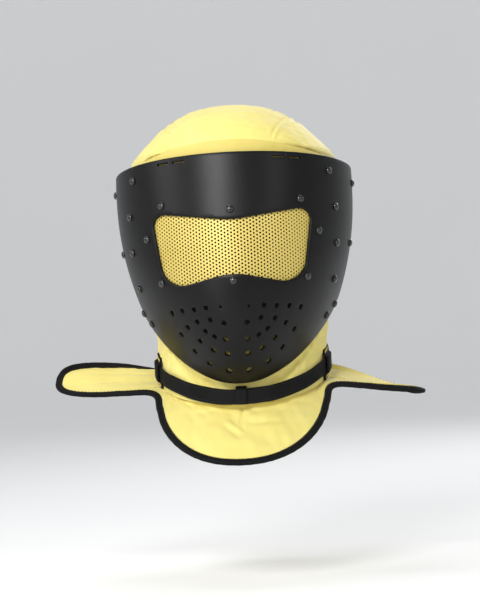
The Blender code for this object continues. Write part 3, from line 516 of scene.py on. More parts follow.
# The shell: a flat patch in (angle, height) with every outline as an edge, bent onto the surface.
# Points near an outline lie deeper, which rounds the edge.
def makeShield():
    spread = 124.0  # millimetres for one radian
    flat = lambda tz: np.stack([tz[:, 0] * spread, tz[:, 1] / mm], -1)
    wrap = shieldShape["wrap"]
    along = np.linspace(-wrap, wrap, 175)
    side = np.linspace(0, 1, 34)[1:-1]
    topEdge = np.stack([along, shieldTop(along)], -1)
    lowEdge = np.stack([along[::-1], shieldBottom(along[::-1])], -1)
    heights = shieldTop(wrap) + (shieldBottom(wrap) - shieldTop(wrap)) * side
    rim = np.concatenate([topEdge, np.stack([0 * side + wrap, heights], -1), lowEdge, np.stack([0 * side - wrap, heights[::-1]], -1)])
    outline = visorOutline()
    loops = [(flat(rim), shieldShape["edgeRound"]), (flat(np.stack([shieldAngle(outline[:, 0], outline[:, 1]), outline[:, 1]], -1)), shieldShape["visorRound"])]
    around, sides = rivetPlaces()
    drill = (rivets["shank"] + rivets["play"])
    for t, z in np.concatenate([around, sides]):
        loops.append((flat(roundOnShield(t, z, circle(drill, 12))), 0.0))
    for across, down, radius in vents["places"]:
        z = -visor["depth"] - vents["top"] - down * vents["height"]
        for hand in (1, -1):
            t = float(shieldAngle(np.array(hand * across * vents["halfWidth"]), np.array(z)))
            loops.append((flat(roundOnShield(t, z, circle(radius * vents["radius"], vents["sides"]))), 0.6))
    for share in slots["shares"]:
        for hand in (1, -1):
            z = -shieldShape["top"]
            for _ in range(3):
                t = float(shieldAngle(np.array(hand * share * shieldShape["halfWidth"]), np.array(z)))
                z = float(shieldTop(t)) - slots["setback"]
            tilt = -hand * np.arcsin(shieldShape["topSlope"] * sin(abs(t)) / shieldShape["halfWidth"])
            loops.append((flat(roundOnShield(t, z, slotShape(tilt))), 0.3))
    points, depths, edges, start = [], [], [], 0
    for number, (loop, rounding) in enumerate(loops):
        points.append(loop)
        depths.append(np.full(len(loop), 0.62 * rounding))
        index = np.arange(len(loop)) + start
        edges.append(np.stack([index, np.roll(index, -1)], -1))
        start += len(loop)
    for number, (loop, rounding) in enumerate(loops):
        if not rounding:
            continue
        tangent = np.roll(loop, -1, 0) - np.roll(loop, 1, 0)
        away = unit(np.stack([tangent[:, 1], -tangent[:, 0]], -1))
        area = (loop[:, 0] * np.roll(loop[:, 1], -1) - np.roll(loop[:, 0], -1) * loop[:, 1]).sum()
        away *= (1 if area > 0 else -1) * (-1 if number == 0 else 1)
        for reach, sunk in ((0.33, 0.26), (1.0, 0.0)):
            points.append(loop + away * rounding * reach)
            depths.append(np.full(len(loop), sunk * rounding))
            start += len(loop)
    step = shieldShape["grid"]
    u, v = np.meshgrid(np.arange(-wrap * spread + step / 2, wrap * spread, step), np.arange(-268.0, -35.0, step * 0.87), indexing="ij")
    u = u + (np.arange(u.shape[1]) % 2) * step / 2
    grid = np.stack([u.ravel(), v.ravel()], -1)
    t = grid[:, 0] / spread
    grid = grid[(np.abs(t) < wrap) & (grid[:, 1] * mm < shieldTop(t) - 2 * mm) & (grid[:, 1] * mm > shieldBottom(t) + 2 * mm)]
    for number, (loop, rounding) in enumerate(loops):
        low, high = loop.min(0) - 3, loop.max(0) + 3
        near = ((grid > low) & (grid < high)).all(1)
        drop = nearest(grid[near], loop) < 1.3 + rounding
        if number:
            drop |= insidePolygon(grid[near], loop)
        keep = np.ones(len(grid), bool)
        keep[np.flatnonzero(near)[drop]] = False
        grid = grid[keep]
    points.append(grid)
    depths.append(np.zeros(len(grid)))
    points, depths, edges = np.concatenate(points), np.concatenate(depths), np.concatenate(edges)
    made = geometry.delaunay_2d_cdt([Vector(p) for p in points.tolist()], edges.tolist(), [], 0, 1e-5)
    verts = np.array([tuple(v) for v in made[0]])
    depth = depths[[o[0] if o else 0 for o in made[3]]]
    faces = np.array([f for f in made[2] if len(f) == 3])
    middle = verts[faces].mean(1)
    keep = insidePolygon(middle, loops[0][0])
    for loop, _ in loops[1:]:
        near = keep & ((middle > loop.min(0)) & (middle < loop.max(0))).all(1)
        keep[np.flatnonzero(near)[insidePolygon(middle[near], loop)]] = False
    faces = faces[keep]
    used, faces = np.unique(faces, return_inverse=True)
    faces, verts, depth = faces.reshape(-1, 3), verts[used], depth[used]
    t, z = verts[:, 0] / spread, verts[:, 1] * mm
    maker = Maker()
    outer = maker.put(shieldInside(t, z, depth * mm))
    inner = maker.put(shieldInside(t, z, shieldShape["wall"] + 0 * t))
    maker.face(outer[faces])
    maker.face(inner[faces][:, ::-1])
    pairs = np.concatenate([faces[:, [0, 1]], faces[:, [1, 2]], faces[:, [2, 0]]])
    _, first, count = np.unique(np.sort(pairs, 1), axis=0, return_index=True, return_counts=True)
    open_ = pairs[first[count == 1]]
    maker.face(np.stack([outer[open_[:, 1]], outer[open_[:, 0]], inner[open_[:, 0]], inner[open_[:, 1]]], -1))
    return maker.build("shieldShell", [shellPlastic], merge=False, smooth=50)


shieldShell = makeShield()
print("shield made", len(shieldShell.data.polygons))

grille = {"wall": 1.2 * mm, "margin": 11 * mm, "seat": 0.6 * mm, "pitch": 3.72 * mm, "hole": 1.06 * mm, "sides": 12}


# The plate: six-cornered cells in upright columns, each with a round hole, bent behind the shell
def makeGrille():
    reach = visor["halfWidth"] + grille["margin"]
    x = np.linspace(-reach, reach, 401)
    level = 0 * x - visor["depth"]
    behind = shieldShape["wall"] + grille["seat"]
    line = shieldInside(shieldAngle(x, level), level, behind + 0 * x)
    run = np.concatenate([[0], np.cumsum(np.linalg.norm(np.diff(line, axis=0), axis=1))])
    run -= run[-1] / 2
    far, tall = run[-1], visor["halfHeight"] + grille["margin"]
    pitch, hole = grille["pitch"], grille["hole"]
    i, j = np.meshgrid(np.arange(-60, 61), np.arange(-40, 41), indexing="ij")
    centre = np.stack([i * pitch * 3**0.5 / 2, j * pitch + (i % 2) * pitch / 2], -1).reshape(-1, 2)
    centre = centre[(np.abs(centre[:, 0]) < far - 1.2 * mm) & (np.abs(centre[:, 1]) < tall - 1.2 * mm)]
    around, _ = rivetPlaces()
    bolts = shieldPoint(around[:, 0], around[:, 1])
    bolts = np.stack([np.interp(bolts[:, 0], x, run), bolts[:, 2] + visor["depth"]], -1)
    centre = centre[nearest(centre, bolts) > rivets["shank"] + 1.4 * mm]
    six = circle(pitch / 3**0.5, 6)
    ring = circle(hole, grille["sides"])
    corners = (centre[:, None] + six).reshape(-1, 2)
    keys, index = np.unique(np.round(corners / (0.02 * mm)).astype(int), axis=0, return_inverse=True)
    corners = keys * 0.02 * mm
    edge = 0.62 * pitch
    corners[:, 0] = np.where(np.abs(corners[:, 0]) > far - edge, np.sign(corners[:, 0]) * far, corners[:, 0])
    corners[:, 1] = np.where(np.abs(corners[:, 1]) > tall - edge, np.sign(corners[:, 1]) * tall, corners[:, 1])
    index = index.reshape(-1, 6)
    holes = (centre[:, None] + ring).reshape(-1, 2)
    every = np.concatenate([corners, holes])
    px, pz = np.interp(every[:, 0], run, x), every[:, 1] - visor["depth"]
    t = shieldAngle(px, pz)
    maker = Maker()
    outer = maker.put(shieldInside(t, pz, behind + 0 * t))
    inner = maker.put(shieldInside(t, pz, behind + grille["wall"] + 0 * t))
    rims = np.arange(len(holes)).reshape(-1, grille["sides"]) + len(corners)
    k = np.arange(6)
    a, b = index[:, k], index[:, (k + 1) % 6]
    h0, h1, h2 = rims[:, 2 * k], rims[:, 2 * k + 1], rims[:, (2 * k + 2) % 12]
    tris = np.concatenate([np.stack(f, -1).reshape(-1, 3) for f in ((a, b, h1), (a, h1, h0), (b, h2, h1))])
    maker.face(outer[tris])
    maker.face(inner[tris][:, ::-1])
    pairs = np.concatenate([tris[:, [0, 1]], tris[:, [1, 2]], tris[:, [2, 0]]])
    _, first, count = np.unique(np.sort(pairs, 1), axis=0, return_index=True, return_counts=True)
    open_ = pairs[first[count == 1]]
    maker.face(np.stack([outer[open_[:, 1]], outer[open_[:, 0]], inner[open_[:, 0]], inner[open_[:, 1]]], -1))
    return maker.build("grillePlate", [paintedSteel], merge=False, smooth=40)


grillePlate = makeGrille()
print("grille made", len(grillePlate.data.polygons))


# Domed rivets: a profile of (radius, height) turned about each place's normal
def makeRivets(name, places, grip, burr):
    r, play, shank = rivets["radius"], rivets["play"], rivets["shank"]
    dome = np.linspace(0, pi / 2, 8)
    profile = [(r * 0.985 * np.sin(d), play + 0.35 * mm + (rivets["height"] - 0.35 * mm) * np.cos(d) ** 1.15) for d in dome]
    profile += [(r, play + 0.2 * mm), (r - 0.12 * mm, play), (shank, play), (shank, -grip)]
    if burr:
        profile += [(shank + 1.2 * mm, -grip - 0.02 * mm), (shank + 1.2 * mm, -grip - 0.3 * mm)]
    profile += [(0.0, profile[-1][1])]
    profile = np.array(profile)
    angle = np.arange(rivets["sides"]) * 2 * pi / rivets["sides"]
    place, across, up, normal = (a[:, None, None] for a in onShield(places[:, 0], places[:, 1]))
    out = profile[:, 0][None, :, None, None]
    points = place + out * (np.cos(angle)[None, None, :, None] * across + np.sin(angle)[None, None, :, None] * up) + profile[:, 1][None, :, None, None] * normal
    maker = Maker()
    for one in points:
        maker.sheet(maker.put(one), wrap=True)
    return maker.build(name, [rivetLacquer], smooth=45)


aroundPlaces, sidePlaces = rivetPlaces()
visorRivets = makeRivets("visorRivets", aroundPlaces, shieldShape["wall"] + grille["seat"] + grille["wall"] + 0.9 * mm, True)
sideRivets = makeRivets("sideRivets", sidePlaces, shieldShape["wall"], False)
print("rivets made")


# The hood's surface: angle a round from the front and height z
hoodShape = {
    "halfWidth": shieldShape["halfWidth"] - shieldShape["wall"] - shieldShape["seat"], "front": 150 * mm, "back": 119 * mm, "earPad": 30 * mm,
    "neckPad": 12 * mm, "neckWidth": 86 * mm, "neckFront": 89 * mm, "neckBack": 87 * mm, "neckDepth": 264 * mm, "neckSlope": 24 * mm,
    "seamFront": 22 * mm, "seamSide": 44 * mm, "seamBack": 60 * mm, "chin": 220 * mm, "chinMargin": 10 * mm, "chinEase": 2 * mm,
    "level": (0.07, 0.165, 0.25, 0.38, 0.47, 0.56, 0.69, 0.785, 0.85, 0.90, 0.96, 1.02, 1.08, 1.14),
    "widthGirth": (0.35, 0.66, 0.89, 0.98, 0.88, 0.67, 0.32, 0.10, 0.03, 0, 0, 0, 0, 0),
    "frontGirth": (0.38, 0.46, 0.68, 1, 1, 0.95, 0.52, 0.10, -0.06, -0.19, -0.20, -0.12, 0, 0),
    "backGirth": (0.35, 0.56, 0.81, 1, 1, 0.93, 0.64, 0.34, 0.18, 0.10, 0.02, 0, 0, 0),
    "pad": (0.35, 0.45, 0.78, 1, 0.95, 0.85, 0.50, 0.17, 0.08, 0, 0, 0, 0, 0),
    "rows": 11, "simRows": 37, "simColumns": 96, "finer": 3, "slack": 0.035, "pressure": 6.0,
}
girthAt = {n: smoothColumn(hoodShape["level"], hoodShape[n]) for n in ("widthGirth", "frontGirth", "backGirth", "pad")}


def hoodSize(z):
    level = -z / hoodShape["neckDepth"]
    pairs = (("widthGirth", "halfWidth", "neckWidth"), ("frontGirth", "front", "neckFront"), ("backGirth", "back", "neckBack"), ("pad", "earPad", "neckPad"))
    return [hoodShape[neck] + (hoodShape[full] - hoodShape[neck]) * girthAt[name](level) for name, full, neck in pairs]


# How far along a level the shell's wall and its seat reach, on a wall that leans
def wallRun(which, z):
    small = 0.5 * mm
    lean = (shieldSection(z + small)[which] - shieldSection(z - small)[which]) / (2 * small)
    return (shieldShape["wall"] + shieldShape["seat"]) * np.sqrt(1 + lean * lean)


def hoodPoint(a, z, inset=0.0):
    width, front, back, _ = hoodSize(z)
    forwards = np.cos(a) > 0
    halfWidth, depth, keel = shieldSection(z)
    room = hoodShape["chinEase"] * np.clip((-z / hoodShape["chin"] - 0.9) / 0.2, 0, 1)
    halfWidth = halfWidth - wallRun(0, z) - room
    depth = depth - wallRun(1, z) - room
    width = np.where(halfWidth > hoodShape["neckWidth"], np.minimum(width, halfWidth), width)
    x = width * np.abs(np.sin(a))
    y = np.where(forwards, front * np.cos(a), -back * np.cos(a))
    t = np.arcsin(np.clip(x / halfWidth, 0, 1))
    below = np.maximum(0, shieldBottom(t) - hoodShape["chinMargin"] - z)
    pressed = depth * prow(t, keel * np.minimum(1, np.cos(t) / 0.3)) + below
    y = np.where(forwards & (x < halfWidth), np.minimum(y, pressed), y)
    shrinkX = np.maximum(0, 1 - inset / width)
    shrinkY = np.maximum(0, 1 - inset / np.where(forwards, front, back))
    return np.stack([x * shrinkX * np.where(np.sin(a) >= 0, 1, -1), np.where(forwards, -y, y) * shrinkY, z], -1)


def seamHeight(a):
    ends = np.where(np.cos(a) > 0, hoodShape["seamFront"], hoodShape["seamBack"])
    return -hoodShape["seamSide"] - (ends - hoodShape["seamSide"]) * np.cos(a) ** 2


def neckHeight(a):
    return -hoodShape["neckDepth"] - hoodShape["neckSlope"] * np.cos(a)


crown = {"pad": 18 * mm, "halfWidth": 109 * mm, "front": 113 * mm, "back": 108 * mm, "lift": 0.15 * mm,
         "out": (0, 0.25, 0.48, 0.60, 0.80, 0.94, 1), "side": (0, 0.050, 0.165, 0.285, 0.620, 0.880, 1),
         "ahead": (0, 0.040, 0.120, 0.195, 0.420, 0.730, 1), "columns": 35, "rowCount": 29, "finer": 5, "seam": 10 / 17,
         "slack": 0.010, "pressure": 6.0}
crownSideAt = smoothColumn(crown["out"], crown["side"])
crownAheadAt = smoothColumn(crown["out"], crown["ahead"])


# Outer and inner points of the crown seam
def seamPair(a):
    z = seamHeight(a)
    pad = hoodSize(z)[3]
    reach = np.where(np.cos(a) > 0, crown["front"], crown["back"])
    outer = np.stack([crown["halfWidth"] * np.sin(a), -reach * np.cos(a), z], -1)
    inner = np.stack([(crown["halfWidth"] - pad) * np.sin(a), -(reach - pad) * np.cos(a), z - 0.35 * pad], -1)
    return outer, inner


# Lets a sheet of cloth swell and buckle between its pinned points, and limits how far it goes:
# a little slack in the cloth, pressure from inside, no gravity
def swell(grid, closed, pinned, pressure, slack, low, high, seed):
    rows, columns = grid.shape[:2]
    out = gridNormals(grid, closed)
    maker = Maker()
    start = grid + out * (~pinned)[..., None] * 0.25 * mm * ripple(grid, 22 * mm, seed)[..., None]
    maker.sheet(maker.put(start), wrap=closed)
    mesh = bpy.data.meshes.new("swelling")
    mesh.from_pydata(maker.points[0].tolist(), [], maker.faces[0].tolist())
    cloth = bpy.data.objects.new("swelling", mesh)
    scene.collection.objects.link(cloth)
    held = cloth.vertex_groups.new(name="held")
    held.add(np.flatnonzero(pinned.ravel()).tolist(), 1.0, "REPLACE")
    modifier = cloth.modifiers.new("cloth", "CLOTH")
    settings = modifier.settings
    settings.quality = 6
    settings.mass = 0.02
    settings.tension_stiffness = settings.compression_stiffness = 12
    settings.shear_stiffness = 6
    settings.bending_stiffness = 0.05
    settings.vertex_group_mass = "held"
    settings.shrink_min = -slack
    settings.use_pressure = True
    settings.uniform_pressure_force = pressure
    settings.effector_weights.gravity = 0
    modifier.point_cache.frame_start, modifier.point_cache.frame_end = 1, 24
    for number in range(1, 25):
        scene.frame_set(number)
    found = cloth.evaluated_get(bpy.context.evaluated_depsgraph_get())
    moved = np.zeros(rows * columns * 3)
    found.data.vertices.foreach_get("co", moved)
    bpy.data.objects.remove(cloth)
    scene.frame_set(1)
    shift = moved.reshape(grid.shape) - grid
    rise = (shift * out).sum(-1)
    slide = shift - rise[..., None] * out
    length = np.linalg.norm(slide, axis=-1, keepdims=True)
    slide *= np.minimum(1, 1.2 * mm / np.maximum(length, 1e-9))
    print("  cloth rise in mm", np.round(np.percentile(rise, [1, 25, 50, 75, 99]) / mm, 2))
    middle = (high + low) / 2
    rise = middle + (high - low) / 2 * np.tanh((rise - middle) / ((high - low) / 2)) - (middle + (high - low) / 2 * np.tanh(-middle / ((high - low) / 2)))
    rise[pinned] = 0
    slide[pinned] = 0
    return grid + out * rise[..., None] + slide


# Crown: a square grid laid over the dome, so the two panel seams run along its columns
def makeCrown():
    p, q = np.meshgrid(np.linspace(-1, 1, crown["columns"]), np.linspace(-1, 1, crown["rowCount"]))

    def surface(p, q, inner):
        x, y = p * np.sqrt(1 - q * q / 2), q * np.sqrt(1 - p * p / 2)
        out = np.sqrt(x * x + y * y)
        a = np.arctan2(x, -y)
        rim = seamPair(a)[1 if inner else 0]
        top = 0.0 if inner else crown["pad"]
        drop = np.sin(a) ** 2 * crownSideAt(out) + np.cos(a) ** 2 * crownAheadAt(out)
        return np.stack([rim[..., 0] * out, rim[..., 1] * out, top + (rim[..., 2] - top) * drop + crown["lift"]], -1)

    base = surface(p, q, False)
    pinned = np.zeros(p.shape, bool)
    pinned[[0, -1]] = pinned[:, [0, -1]] = True
    pinned |= np.abs(np.abs(p) - crown["seam"]) < 0.01
    base[1:-1, 1:-1] -= gridNormals(base, False)[1:-1, 1:-1] * 0.6 * mm
    if gridNormals(base, False)[crown["rowCount"] // 2, crown["columns"] // 2, 2] < 0:
        base, pinned, flipped = base[::-1], pinned[::-1], True
    else:
        flipped = False
    swollen = swell(base, False, pinned, crown["pressure"], crown["slack"], -0.4 * mm, 2.6 * mm, 3)
    if flipped:
        swollen = swollen[::-1]
    fine = denser(denser(swollen, crown["finer"], False).swapaxes(0, 1), crown["finer"], False).swapaxes(0, 1)
    rows, columns = fine.shape[:2]
    p, q = np.meshgrid(np.linspace(-1, 1, columns), np.linspace(-1, 1, rows))
    up = gridNormals(fine, False)
    up *= np.sign(up[rows // 2, columns // 2, 2])
    across = (np.abs(p) - crown["seam"]) * crown["halfWidth"]
    along = q * crown["front"]
    edge = np.minimum(1 - np.abs(p), 1 - np.abs(q)) * crown["halfWidth"]
    welt = 0.75 * np.exp(-((across / (1.9 * mm)) ** 2)) - 0.45 * np.exp(-(((np.abs(across) - 4.2 * mm) / (2.0 * mm)) ** 2))
    gather = np.sin(2 * pi * along / (8.5 * mm) + 1.7 * np.sin(along / (13 * mm)) + np.sign(p)) * np.exp(-np.abs(across) / (7 * mm))
    rimGather = np.sin(2 * pi * np.arctan2(p, q) * 110 * mm / (11 * mm)) * np.exp(-edge / (5 * mm))
    fade = ease(edge, 0, 6 * mm)
    rise = (welt * fade + 0.20 * gather * fade + 0.18 * rimGather * fade - 1.5 * np.exp(-((edge / (1.6 * mm)) ** 2)) + 0.16 * ripple(fine, 11 * mm, 5) * fade) * mm
    fine = fine + up * rise[..., None]
    lining = surface(p, q, True)
    maker = Maker()
    outer, inner = maker.put(fine), maker.put(lining)
    u, v = np.linspace(-1, 1, columns) * 0.125, np.linspace(-1, 1, rows) * 0.125
    maker.sheet(outer, u=u, v=v)
    maker.sheet(inner, flip=True, u=u, v=v, slot=1)
    loop = lambda index: np.concatenate([index[0, :-1], index[:-1, -1], index[-1, :0:-1], index[:0:-1, 0]])
    a, b = loop(outer), loop(inner)
    maker.face(np.stack([a, b, np.roll(b, -1), np.roll(a, -1)], -1))
    # The inner face takes the near-black lining: painted shade
    piece = maker.build("crownCover", [yellowNylon, paintedShadeLining])
    seams = []
    for side in (-1, 1):
        for offset in (-5.4 * mm, 5.4 * mm):
            place = side * (crown["seam"] + offset / crown["halfWidth"])
            column = int(round((place + 1) / 2 * (columns - 1)))
            seams.append((fine[6:-6, column], up[6:-6, column]))
    rim = np.concatenate([fine[5, 5:-5], fine[5:-5, -6], fine[-6, -6:5:-1], fine[-6:5:-1, 5]])
    rimUp = np.concatenate([up[5, 5:-5], up[5:-5, -6], up[-6, -6:5:-1], up[-6:5:-1, 5]])
    seams.append((rim, rimUp))
    return piece, seams


# Stitches: small spindles laid nose to tail along lines, each dipping into the cloth at its ends
def makeStitches(name, lines, finish, length=2.6 * mm, gap=1.1 * mm, radius=0.3 * mm, lift=0.05 * mm):
    maker = Maker()
    s = np.array([-1.0, -0.8, -0.3, 0.3, 0.8, 1.0])
    fat = np.array([0.0, 0.65, 1.0, 1.0, 0.65, 0.0])
    dip = np.array([-1.4, -0.6, 0, 0, -0.6, -1.4])
    angle = np.arange(6) * pi / 3
    for line, ups in lines:
        run = np.concatenate([[0], np.cumsum(np.linalg.norm(np.diff(line, axis=0), axis=1))])
        count = int(run[-1] / (length + gap))
        where = (np.arange(count) + 0.5) * run[-1] / count
        read = lambda values, at: np.stack([np.interp(at, run, values[:, k]) for k in range(3)], -1)
        centre, normal = read(line, where), unit(read(ups, where))
        tangent = unit(read(line, np.minimum(where + mm, run[-1])) - read(line, np.maximum(where - mm, 0)))
        side = np.cross(normal, tangent)
        ring = np.cos(angle)[:, None, None] * side + np.sin(angle)[:, None, None] * normal
        for k in range(1):
            points = centre[None, None] + s[:, None, None, None] * tangent * length / 2 + ring[None] * (fat * radius)[:, None, None, None]
            points = points + normal * ((dip * radius * 0.8 + lift)[:, None, None, None])
        points = points.transpose(2, 0, 1, 3)
        index = maker.put(points)
        r, c = (g.ravel() for g in np.meshgrid(np.arange(5), np.arange(6), indexing="ij"))
        d = (c + 1) % 6
        corners = np.stack([index[:, r, c], index[:, r + 1, c], index[:, r + 1, d], index[:, r, d]], -1).reshape(-1, 4)
        u, v = s[r] * length / 2, c * 0.3 * mm
        one = np.stack([np.stack([u, s[r + 1] * length / 2, s[r + 1] * length / 2, u], -1), np.stack([v, v, v + 0.3 * mm, v + 0.3 * mm], -1)], -1)
        maker.face(corners, np.tile(one, (count, 1, 1)))
    return maker.build(name, [finish])


crownCover, crownSeams = makeCrown()
crownStitches = makeStitches("crownStitches", crownSeams, yellowThread)
print("crown made", len(crownCover.data.polygons))

strap = {"width": 16 * mm, "thick": 2 * mm, "front": 281 * mm, "rise": 62 * mm, "bend": 1.7, "play": 2.0 * mm, "columns": 220}


def strapHeight(a):
    return -strap["front"] + strap["rise"] * np.abs(np.sin(a / 2)) ** strap["bend"]


# The hood's outside at turns v of the way down from the crown seam
def hoodGrid(a, v, inner):
    z = seamHeight(a) * (1 - v) + neckHeight(a) * v
    pad = hoodSize(z)[3] if inner else 0.0
    seamZ = seamHeight(a)
    seamPad = hoodSize(seamZ)[3] if inner else 0.0
    offset = seamPair(a)[1 if inner else 0] - hoodPoint(a, seamZ, seamPad)
    fade = 1 - ease(v, 0, 1.3 / hoodShape["rows"])
    points = hoodPoint(a, z, pad) + offset * fade[..., None]
    points[..., 2] -= crown["lift"] * (v == 0)
    return points


# One ring of padding for the hood and the brow, whose outer skin is let swell where nothing presses on it
def makeHood():
    columns, rows = hoodShape["simColumns"], hoodShape["simRows"]
    a, v = np.meshgrid(np.arange(columns) * 2 * pi / columns, np.linspace(0, 1, rows))
    base = hoodGrid(a, v, False)
    t = np.arctan2(base[..., 0], -base[..., 1])
    z = base[..., 2]
    covered = (np.abs(t) < shieldShape["wrap"] + 0.05) & (z < shieldTop(t) + 6 * mm) & (z > shieldBottom(np.clip(t, -1.75, 1.75)) - 7 * mm)
    underStrap = z < strapHeight(a) + 13 * mm
    backSeam = np.abs(a - pi) < 0.02
    pinned = covered | underStrap | backSeam | (v == 0) | (v == 1)
    flip = (gridNormals(base, True) * base).sum(-1).mean() < 0
    order = slice(None, None, -1) if flip else slice(None)
    swollen = swell(base[order], True, pinned[order], hoodShape["pressure"], hoodShape["slack"], -1.2 * mm, 3.2 * mm, 8)[order]
    finer = hoodShape["finer"]
    fine = denser(denser(swollen, finer, False).swapaxes(0, 1), finer, True).swapaxes(0, 1)
    rows, columns = fine.shape[:2]
    a, v = np.meshgrid(np.arange(columns) * 2 * pi / columns, np.linspace(0, 1, rows))
    out = gridNormals(fine, True) * (-1 if flip else 1)
    z = fine[..., 2]
    t = np.arctan2(fine[..., 0], -fine[..., 1])
    covered = (np.abs(t) < shieldShape["wrap"] + 0.03) & (z < shieldTop(t) + 2 * mm) & (z > shieldBottom(np.clip(t, -1.75, 1.75)) - 3 * mm)
    free = 1.0 - covered
    for _ in range(5):
        free = (np.roll(free, 1, 1) + np.roll(free, -1, 1) + 2 * free) / 4
    below = (seamHeight(a) - z)
    behind = np.abs(np.sin((a - pi) / 2)) * 2 * 105 * mm
    seam = np.where(np.cos(a) < 0, -1.5 * np.exp(-((behind / (1.5 * mm)) ** 2)) + 0.5 * np.exp(-(((behind - 4.5 * mm) / (2.2 * mm)) ** 2)), 0)
    pucker = np.where(np.cos(a) < 0, np.sin(2 * pi * z / (9 * mm) + 1.5 * np.sin(z / (17 * mm))) * np.exp(-behind / (8 * mm)), 0)
    nape = ease(-z, 168 * mm, 195 * mm) * (1 - ease(-z, 226 * mm, 244 * mm)) * ease(-np.cos(a), -0.15, 0.5)
    folds = np.sin(2 * pi * (z / (13 * mm)) + 1.3 * np.sin(a * 3 + 1) + 0.8 * np.sin(a * 7)) * nape
    rimGather = np.sin(2 * pi * a * 110 * mm / (11.5 * mm) + 2 * np.sin(3 * a)) * np.exp(-below / (7 * mm))
    rise = (seam + 0.35 * pucker + 0.75 * folds + 0.25 * rimGather * ease(below, 0, 3 * mm) + 0.15 * ripple(fine, 12 * mm, 9)) * free
    rise = rise - 1.4 * np.exp(-((below / (1.8 * mm)) ** 2))
    fine = fine + out * (rise * mm)[..., None]
    lining = hoodGrid(a, v, True)
    maker = Maker()
    outer, inner = maker.put(fine), maker.put(lining)
    u, w = np.arange(columns) * 2 * pi / columns * 0.115, np.linspace(0, 0.21, rows)
    maker.sheet(outer, wrap=True, u=u, v=w)
    maker.sheet(inner, wrap=True, flip=True, u=u, v=w, slot=1)
    for row, turn in ((0, False), (-1, True)):
        corners = np.stack([outer[row], inner[row], np.roll(inner[row], -1), np.roll(outer[row], -1)], -1)
        maker.face(corners[:, ::-1] if turn else corners)
    # The inner face takes the near-black lining: painted shade
    ring = maker.build("hoodCover", [yellowNylon, paintedShadeLining])
    middle = columns // 2
    band = slice(4, int(rows * 0.97))
    lines = [(fine[band, middle + k], out[band, middle + k]) for k in (-2, 2)]
    around = np.arange(int(columns * 0.22), int(columns * 0.78))
    lines.append((fine[3, around], out[3, around]))
    return ring, lines


# The opening for the face, seen from the front, from the jaw up to the given height
opening = {"chin": 220 * mm, "jaw": 76 * mm, "corner": 24 * mm, "back": 42 * mm, "margin": 4 * mm}


def addPrism(maker, outline, low, high):
    count = len(outline)
    x, z = outline.T
    ends = [maker.put(np.stack([x, 0 * x + y, z], -1)) for y in (low, high)]
    maker.face(np.stack([ends[0], np.roll(ends[0], -1), np.roll(ends[1], -1), ends[1]], -1))
    maker.face(ends[0][None]), maker.face(ends[1][None, ::-1])


def cutWith(piece, outline, low, high, operation):
    maker = Maker()
    addPrism(maker, outline, low, high)
    tool = maker.build("cutter", [])
    modifier = piece.modifiers.new("cut", "BOOLEAN")
    modifier.operation, modifier.solver, modifier.object = operation, "EXACT", tool
    found = piece.evaluated_get(bpy.context.evaluated_depsgraph_get())
    mesh = bpy.data.meshes.new_from_object(found)
    piece.modifiers.clear()
    piece.data = mesh
    bpy.data.objects.remove(tool)


def cutOpening(ring):
    wide = visor["halfWidth"] + grille["margin"] + opening["margin"]
    brow = visor["depth"] - visor["halfHeight"] - grille["margin"] - opening["margin"]
    gap = 0.15 * mm
    far = -0.3
    half = [(wide + gap, 30 * mm, 0.1 * mm), (wide + gap, -(brow + opening["chin"]) / 2, opening["corner"]), (opening["jaw"] + gap, -opening["chin"] - gap, opening["corner"])]
    outline = roundedOutline(half + [(-x, z, r) for x, z, r in half[::-1]], 6)
    band = ring.copy()
    band.data = ring.data.copy()
    band.name = band.data.name = "browCover"
    scene.collection.objects.link(band)
    cutWith(ring, outline, far, -opening["back"], "DIFFERENCE")
    w = wide - gap
    cutWith(band, np.array([(w, 30 * mm), (w, -brow), (-w, -brow), (-w, 30 * mm)]), far, -opening["back"] - 2 * gap, "INTERSECT")
    # The brow band takes the darker copy of the yellow nylon: painted shade
    band.data.materials[0] = shadedBrowNylon
    for piece in (ring, band):
        piece.data.shade_smooth()
        piece.data.set_sharp_from_angle(angle=radians(50))
    return band


hoodCover, hoodSeams = makeHood()
browCover = cutOpening(hoodCover)
hoodStitches = makeStitches("hoodStitches", hoodSeams, yellowThread)
print("hood made", len(hoodCover.data.polygons), len(browCover.data.polygons))

# The cape: a loop of lobes, each a half superellipse between two notches.
# start and end in degrees, then the tip's place as shares of the reach, fullness and twist
cape = {"thick": 5 * mm, "reach": 106 * mm, "seam": 0.9 * mm, "notchOut": 10 * mm, "notchDown": 3 * mm, "drop": 6 * mm,
        "lobes": ((-72, 72, 0.0, -1.02, -0.67, 2.2, 0.0), (72, 118, 0.95, -0.02, -0.21, 2.8, -0.10),
                  (118, 242, 0.0, 0.90, -0.84, 2.4, 0.0), (-118, -72, -1.04, -0.02, 0.07, 2.8, -0.09)),
        "lobeColumns": 16, "finer": 6, "simRows": 9, "slack": 0.006, "pressure": 1.0}
binding = {"width": 8 * mm, "thick": 5.0 * mm, "section": 22, "squareness": 3.0, "curl": ((1, 0.75, 0.0, -0.6), (3, 0.25, 0.0, 1.15), (1, 0.25, 0.0, -0.45))}


def neckRing(a, out, down):
    reach = np.where(np.cos(a) > 0, hoodShape["neckFront"], hoodShape["neckBack"])
    return np.stack([(hoodShape["neckWidth"] + out) * np.sin(a), -(reach + out) * np.cos(a), neckHeight(a) - down], -1)


